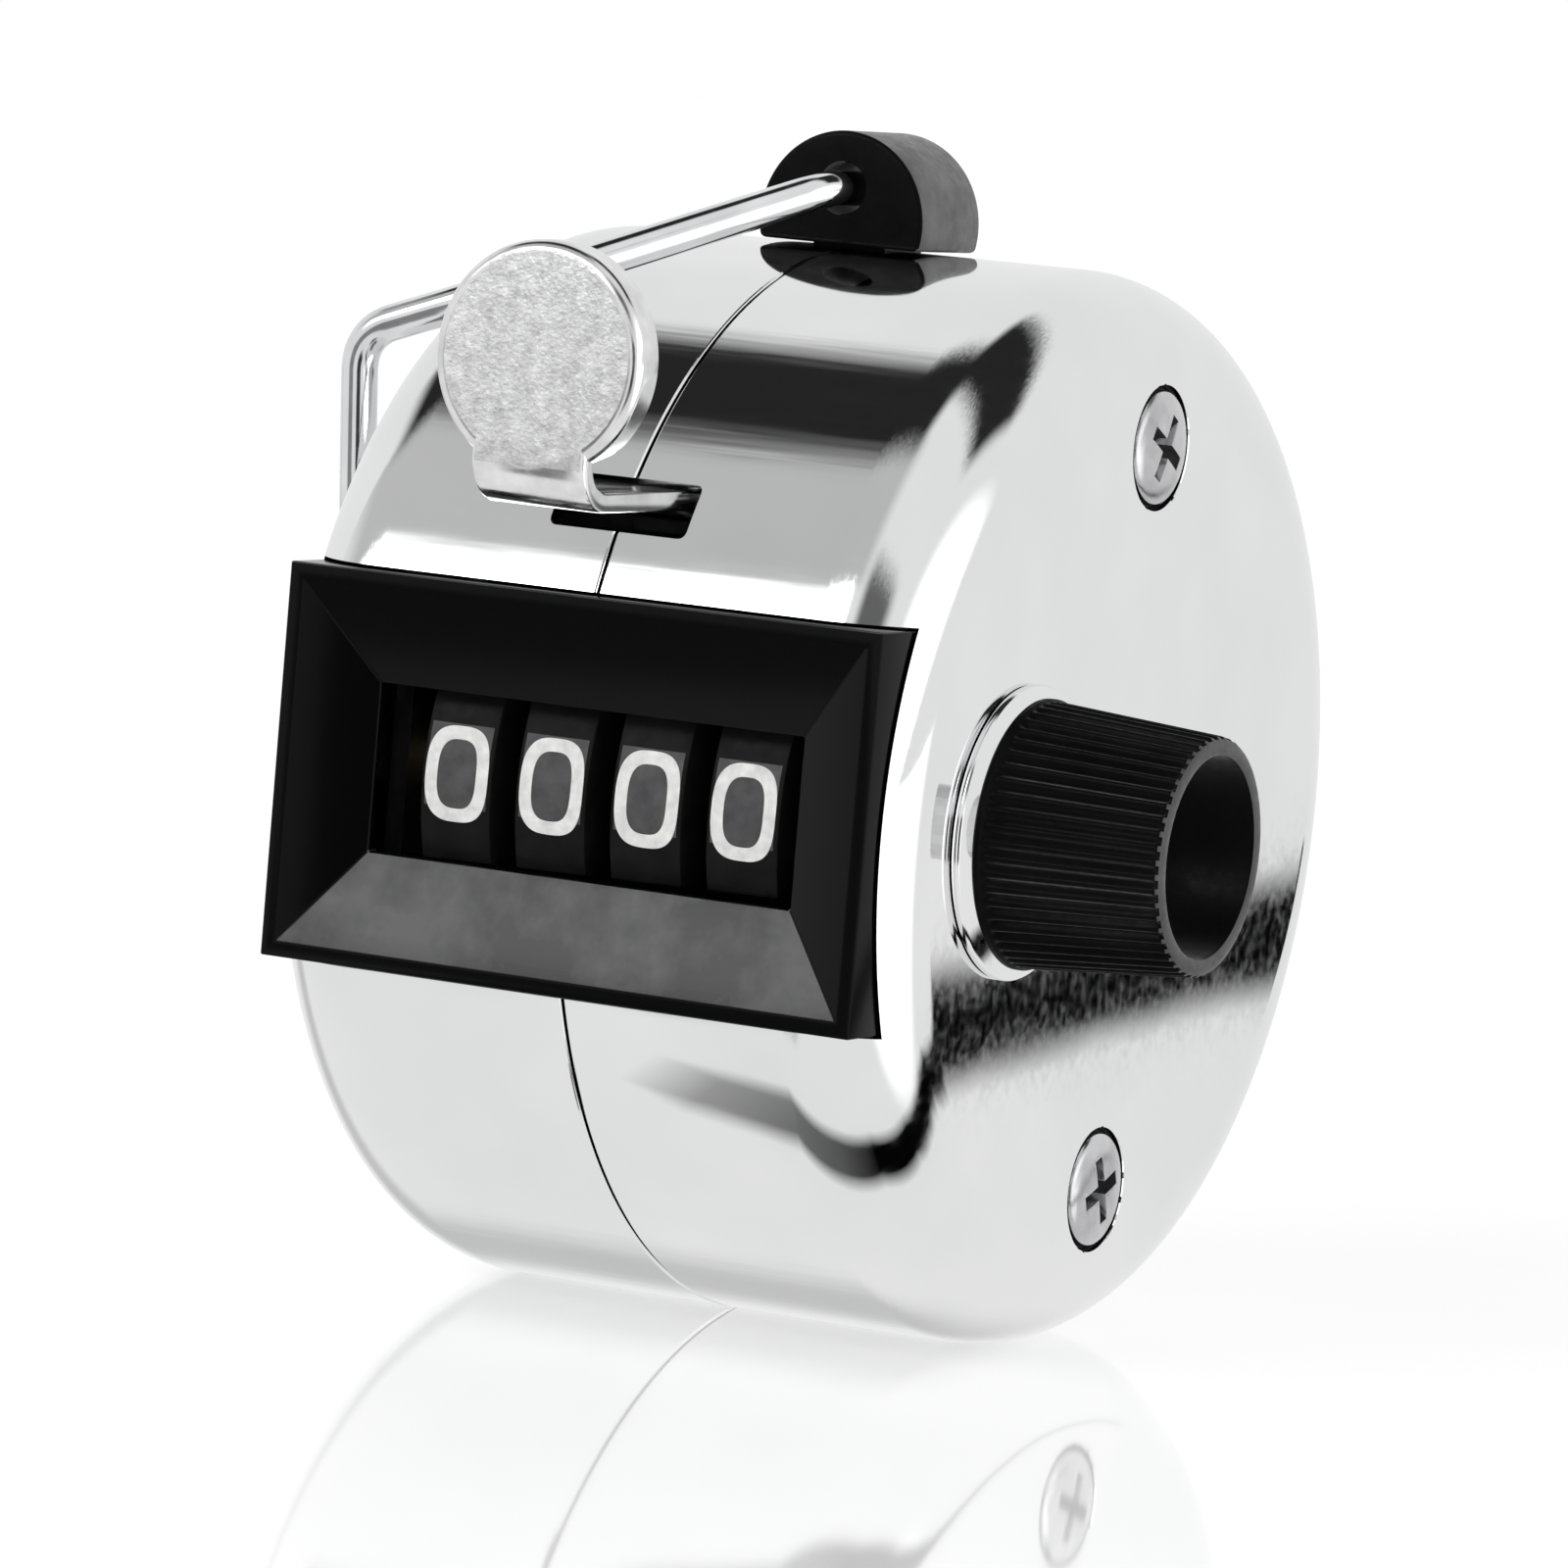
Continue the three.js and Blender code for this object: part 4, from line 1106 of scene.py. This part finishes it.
def inner_corner(route, half_width, side):
    """Where the strip's two inner edges cross at the bend."""
    (y0, z0), (y1, z1), (y2, z2) = route
    a = Vector((y1 - y0, z1 - z0)).normalized()
    b = Vector((y2 - y1, z2 - z1)).normalized()
    bisector = (Vector((-a.y, a.x)) + Vector((-b.y, b.x))).normalized()
    reach = half_width / bisector.dot(Vector((-a.y, a.x)))
    return [(y1 + side * bisector.x * reach, z1 + side * bisector.y * reach)]


lever()

# -------- ring holder and finger ring


HOLDER_FRONT = -2.2
HOLDER_BACK = 3.2
HOLDER_CENTRE_Z = 23.0


def ring_holder():
    """D-shaped block on the seam, its edges slightly rounded, with a countersunk hole for the wire."""
    foot_z = CASE_R + 0.1
    drop = math.asin((HOLDER_CENTRE_Z - foot_z) / HOLDER_R)
    outline = arc((0, HOLDER_CENTRE_Z), HOLDER_R, -math.degrees(drop), 180 + math.degrees(drop), 64)
    depth = HOLDER_BACK - HOLDER_FRONT

    def place(u, v, w):
        return (u, HOLDER_FRONT + w, v)

    holder = prism("holder", outline, place, depth, 20)
    bevel(holder, 0.22, 4, 40)
    stations = [(-3, 0), (-3, 1.35), (0, 1.1), (0.12, 1.05)]
    stations += [(depth - 0.12, 1.05), (depth, 1.1), (depth + 3, 1.35), (depth + 3, 0)]
    cutter = turned("hole_cutter", [(HOLDER_FRONT + along, radius) for along, radius in stations], 48)
    turn = Matrix.Rotation(math.radians(90), 4, "Z")
    cutter.data.transform(Matrix.Translation((0, 0, -LIFT * MM)))
    cutter.data.transform(turn)
    cutter.data.transform(Matrix.Translation((0, 0, (LIFT + RING_AXIS_Z) * MM)))
    boolean(holder, [cutter])
    neck = block("neck", (-1.65, -1.15, 20.8), (1.65, 2.15, foot_z + 1))
    foot = block("foot", (-3, -1.9, 19.9), (3, 2.9, 20.85))
    boolean(holder, [neck, foot], "UNION")
    shade(holder, 30)
    holder.name = "holder_block"

    # Faces that turn towards +X are a lighter grey: a painted sheen on the holder's side.
    def worn(x, y, z, normal):
        return normal.x > 0.05 and abs(normal.y) < 0.5

    dress_in_two(holder, FINE_BLACK, PAINTED_SIDE_SHEEN, worn)
    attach(holder, "case")
    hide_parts("ring_holder")


ring_holder()


def bent(points, steps):
    """Points along straight runs joined by smooth bends; each inner point has its bend length."""
    path = [Vector(points[0][0])]
    for i in range(1, len(points) - 1):
        at = Vector(points[i][0])
        length = points[i][1]
        before = at + (Vector(points[i - 1][0]) - at).normalized() * length
        after = at + (Vector(points[i + 1][0]) - at).normalized() * length
        for k in range(steps + 1):
            t = k / steps
            path.append(before * (1 - t) ** 2 + at * 2 * t * (1 - t) + after * t * t)
    path.append(Vector(points[-1][0]))
    spaced = [path[0]]
    for point in path[1:]:
        gap = point - spaced[-1]
        if gap.length > 1e-4:
            spaced.append(point)
    return spaced


def finger_ring():
    """The wire that hooks through the holder and spreads round the case to a loop beside the left shell."""
    middle = (HOLDER_FRONT + HOLDER_BACK) / 2

    def half_route(side):
        corners = [
            (0, 0.05, RING_AXIS_Z, 0),
            (0, 3.85, RING_AXIS_Z, 1.2),
            (-8.9, 13.5, 19.45, 3.4),
            (-15.7, 13.7, 17, 1.6),
            (-15.3, 13.4, 9, 3.6),
            (-16.8, 9.8, 3.8, 2.4),
        ]
        return [((x, middle + side * out, z), bend) for x, out, z, bend in corners]

    route = half_route(-1) + list(reversed(half_route(1)))
    ring = tube("ring", bent(route, 18), WIRE_R, 28)
    ring.visible_glossy = False          # left out of the case's reflections
    dress(ring, WIRE)
    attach(ring, "ring")
    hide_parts("finger_ring")


finger_ring()

# -------- studio


def stage_plane(name, corners, material):
    mesh = bpy.data.meshes.new(name)
    mesh.from_pydata([Vector(c) * MM for c in corners], [], [tuple(range(len(corners)))])
    obj = bpy.data.objects.new(name, mesh)
    bpy.context.scene.collection.objects.link(obj)
    mesh.materials.append(material)
    return obj


def bare_material(name):
    """A material with only its output node; also gives its nodes and links."""
    material = bpy.data.materials.new(name)
    material.use_nodes = True
    nodes = material.node_tree.nodes
    nodes.clear()
    return material, nodes, material.node_tree.links, nodes.new("ShaderNodeOutputMaterial")


def floor_material():
    """Polished white surface: plain white with a clear gloss that fades towards the viewer."""
    material, nodes, links, output = bare_material("studio_floor")
    mix = nodes.new("ShaderNodeMixShader")
    add = nodes.new("ShaderNodeAddShader")
    diffuse = nodes.new("ShaderNodeBsdfDiffuse")
    glow = nodes.new("ShaderNodeEmission")
    gloss = nodes.new("ShaderNodeBsdfGlossy")
    place = nodes.new("ShaderNodeTexCoord")
    split = nodes.new("ShaderNodeSeparateXYZ")
    fade = nodes.new("ShaderNodeMapRange")
    diffuse.inputs["Color"].default_value = (0.8, 0.8, 0.8, 1)
    glow.inputs["Strength"].default_value = 0.62
    gloss.inputs["Roughness"].default_value = 0.05
    gloss.inputs["Color"].default_value = (1, 1, 1, 1)
    fade.interpolation_type = "SMOOTHSTEP"
    fade.inputs["From Min"].default_value = -0.24
    fade.inputs["From Max"].default_value = -0.02
    fade.inputs["To Min"].default_value = 0.0
    fade.inputs["To Max"].default_value = 0.62
    links.new(place.outputs["Object"], split.inputs[0])
    links.new(split.outputs["Y"], fade.inputs["Value"])
    links.new(fade.outputs["Result"], mix.inputs["Fac"])
    links.new(diffuse.outputs[0], add.inputs[0])
    links.new(glow.outputs[0], add.inputs[1])
    links.new(add.outputs[0], mix.inputs[1])
    links.new(gloss.outputs[0], mix.inputs[2])
    links.new(mix.outputs[0], output.inputs["Surface"])
    return material


def flag_material():
    """Black card seen in reflections; the mesh says how much of it there is at each point."""
    material, nodes, links, output = bare_material("studio_flag")
    mix = nodes.new("ShaderNodeMixShader")
    clear = nodes.new("ShaderNodeBsdfTransparent")
    black = nodes.new("ShaderNodeBsdfDiffuse")
    cover = nodes.new("ShaderNodeAttribute")
    cover.attribute_name = "cover"
    black.inputs["Color"].default_value = (0.002, 0.002, 0.002, 1)
    links.new(cover.outputs["Fac"], mix.inputs["Fac"])
    links.new(clear.outputs[0], mix.inputs[1])
    links.new(black.outputs[0], mix.inputs[2])
    links.new(mix.outputs[0], output.inputs["Surface"])
    return material


def studio_floor():
    reach = 3000
    corners = [(-reach, -reach, 0), (reach, -reach, 0), (reach, reach, 0), (-reach, reach, 0)]
    floor = stage_plane("floor", corners, floor_material())
    floor.visible_glossy = False


FLAG_Z = -0.2
FLAG_SOFT = 1.5                          # the card's soft edge, as a share of its dark width

# Middle line of the dark card just under the floor: x, y, width and how dark it is.
# Its near end, beside the case, is a painted shadow on the floor.
FLAG_LINE = [
    (-4, -25, 3.0, 0.0),
    (0, -24, 3.4, 0.6),
    (5, -22.5, 3.6, 0.8),
    (12, -20, 3.6, 0.88),
    (18, -17.5, 3.4, 1.0),
    (27, -11, 3.8, 1.0),
    (34, -4, 4.6, 1.0),
    (42, 5, 6.0, 1.0),
    (49, 16, 8.0, 1.0),
    (56, 40, 9.0, 1.0),
    (63, 70, 11.0, 1.0),
    (69.5, 100, 13.0, 1.0),
    (73.5, 125, 14.0, 1.0),
    (78, 155, 15.0, 1.0),
    (83, 185, 15.0, 1.0),
    (88, 215, 15.0, 1.0),
]


def low_flag():
    """A dark card with soft edges just under the floor, which shows only in reflections; beside the case it
    is a painted shadow on the floor.
    """
    points = []
    cover = []
    for i, (x, y, width, dark) in enumerate(FLAG_LINE):
        before = Vector(FLAG_LINE[max(i - 1, 0)][:2])
        after = Vector(FLAG_LINE[min(i + 1, len(FLAG_LINE) - 1)][:2])
        along = (after - before).normalized()
        across = Vector((-along.y, along.x)) * width / 2
        for share, amount in ((-FLAG_SOFT, 0), (-0.7, dark), (0.7, dark), (FLAG_SOFT, 0)):
            points.append(Vector((x + across.x * share, y + across.y * share, FLAG_Z)) * MM)
            cover.append(amount)
    faces = []
    for i in range(len(FLAG_LINE) - 1):
        for k in range(3):
            first = 4 * i + k
            faces.append((first, first + 4, first + 5, first + 1))
    mesh = bpy.data.meshes.new("low_flag")
    mesh.from_pydata(points, [], faces)
    values = mesh.attributes.new("cover", "FLOAT", "POINT")
    values.data.foreach_set("value", cover)
    flag = bpy.data.objects.new("low_flag", mesh)
    bpy.context.scene.collection.objects.link(flag)
    mesh.materials.append(flag_material())
    flag.visible_camera = False
    flag.visible_diffuse = False
    flag.visible_shadow = False


# Light round the counter, as bands along its shaft: each band has its range of x (along the shaft) and of
# angle round the shaft from the front upwards, the softness of its edges in each, and its brightness.
BANDS = [
    {"x": (-0.9, 0.1), "angle": (46, 82), "soft": (0.2, 5), "level": 0.55},  # grey reflector
    {"x": (-0.75, 0.05), "angle": (78, 109), "soft": (0.14, 12), "level": 0.02},  # flag over the top
    {"x": (-0.05, 0.68), "angle": (96, 124), "soft": (0.1, 10), "level": 0.02},  # its far end, set back
    {"x": (-0.75, -0.02), "angle": (24, 43), "soft": (0.1, 9), "level": 7.0},  # strip light, front
    {"x": (0.18, 0.62), "angle": (28, 52), "soft": (0.16, 12), "level": 0.14},  # dark edge, right
    {"x": (0.84, 1.2), "angle": (-200, 150), "soft": (0.1, 10), "level": 1.7},  # side light
    {"x": (-0.62, -0.2), "angle": (-47, -2), "soft": (0.1, 6), "level": 0.25},  # dim front
    {"x": (0.22, 0.58), "angle": (-24, 12), "soft": (0.08, 6), "level": 0.05},  # dim front, right
    {"x": (-1.5, -0.1), "angle": (-150, -126), "soft": (0.6, 18), "level": 0.6},  # dim underside
]
ROOM_LEVEL = 0.87
GRAIN_SCALE = 70                         # the bands' long edges are ragged, as brushed cards are
GRAIN_REACH = 0.18


def studio_world():
    """Plain white all round for the camera; the counter also sees the bands above."""
    world = bpy.data.worlds.new("studio")
    bpy.context.scene.world = world
    world.use_nodes = True
    nodes = world.node_tree.nodes
    links = world.node_tree.links
    nodes.clear()
    output = nodes.new("ShaderNodeOutputWorld")
    background = nodes.new("ShaderNodeBackground")
    place = nodes.new("ShaderNodeTexCoord")
    split = nodes.new("ShaderNodeSeparateXYZ")
    links.new(place.outputs["Generated"], split.inputs[0])

    def combine(operation, a, b):
        return math_node(world.node_tree, operation, a, b)

    def step(value, start, end):
        node = nodes.new("ShaderNodeMapRange")
        node.interpolation_type = "SMOOTHSTEP"
        node.inputs["From Min"].default_value = start
        node.inputs["From Max"].default_value = end
        links.new(value, node.inputs["Value"])
        return node.outputs["Result"]

    x = split.outputs["X"]
    forward = combine("MULTIPLY", split.outputs["Y"], -1.0)
    angle = combine("ARCTAN2", split.outputs["Z"], forward)
    grain = nodes.new("ShaderNodeTexNoise")
    grain.inputs["Scale"].default_value = GRAIN_SCALE
    grain.inputs["Detail"].default_value = 4
    links.new(place.outputs["Generated"], grain.inputs["Vector"])
    ragged = combine("SUBTRACT", grain.outputs["Fac"], 0.5)
    angle = combine("ADD", angle, combine("MULTIPLY", ragged, GRAIN_REACH))
    light = None
    for band in BANDS:
        soft_x, soft_angle = band["soft"]
        low, high = (math.radians(a) for a in band["angle"])
        half = math.radians(soft_angle) / 2
        masks = [
            step(x, band["x"][0] - soft_x / 2, band["x"][0] + soft_x / 2),
            combine("SUBTRACT", 1.0, step(x, band["x"][1] - soft_x / 2, band["x"][1] + soft_x / 2)),
            step(angle, low - half, low + half),
            combine("SUBTRACT", 1.0, step(angle, high - half, high + half)),
        ]
        mask = masks[0]
        for other in masks[1:]:
            mask = combine("MULTIPLY", mask, other)
        change = combine("SUBTRACT", band["level"], light if light else ROOM_LEVEL)
        light = combine("ADD", light if light else ROOM_LEVEL, combine("MULTIPLY", mask, change))
    rays = nodes.new("ShaderNodeLightPath")
    seen = combine("SUBTRACT", 1.0, rays.outputs["Is Camera Ray"])
    extra = combine("MULTIPLY", combine("SUBTRACT", light, 1.0), seen)
    strength = combine("ADD", 1.0, extra)
    links.new(strength, background.inputs["Strength"])
    background.inputs["Color"].default_value = (1, 1, 1, 1)
    links.new(background.outputs[0], output.inputs["Surface"])


CAMERA_PLACE = (0.16476, -0.32253, 0.05445)
CAMERA_FORWARD = (-0.45627, 0.88519, -0.09090)
CAMERA_ROLL = 4.855                      # degrees
SENSOR = 36
LENS = 202.3


def camera():
    """The photograph's viewing angle: 27 degrees round to the right, 5 degrees up, rolled 5 degrees."""
    data = bpy.data.cameras.new("camera")
    data.sensor_width = SENSOR
    data.lens = LENS
    data.clip_start = 0.01
    data.clip_end = 20
    obj = bpy.data.objects.new("camera", data)
    bpy.context.scene.collection.objects.link(obj)
    obj.location = CAMERA_PLACE
    forward = Vector(CAMERA_FORWARD)
    roll = Quaternion((0, 0, 1), math.radians(CAMERA_ROLL))
    obj.rotation_mode = "QUATERNION"
    obj.rotation_quaternion = forward.to_track_quat("-Z", "Y") @ roll
    bpy.context.scene.camera = obj


studio_floor()
low_flag()
studio_world()
camera()
bpy.context.scene.view_settings.view_transform = "Standard"
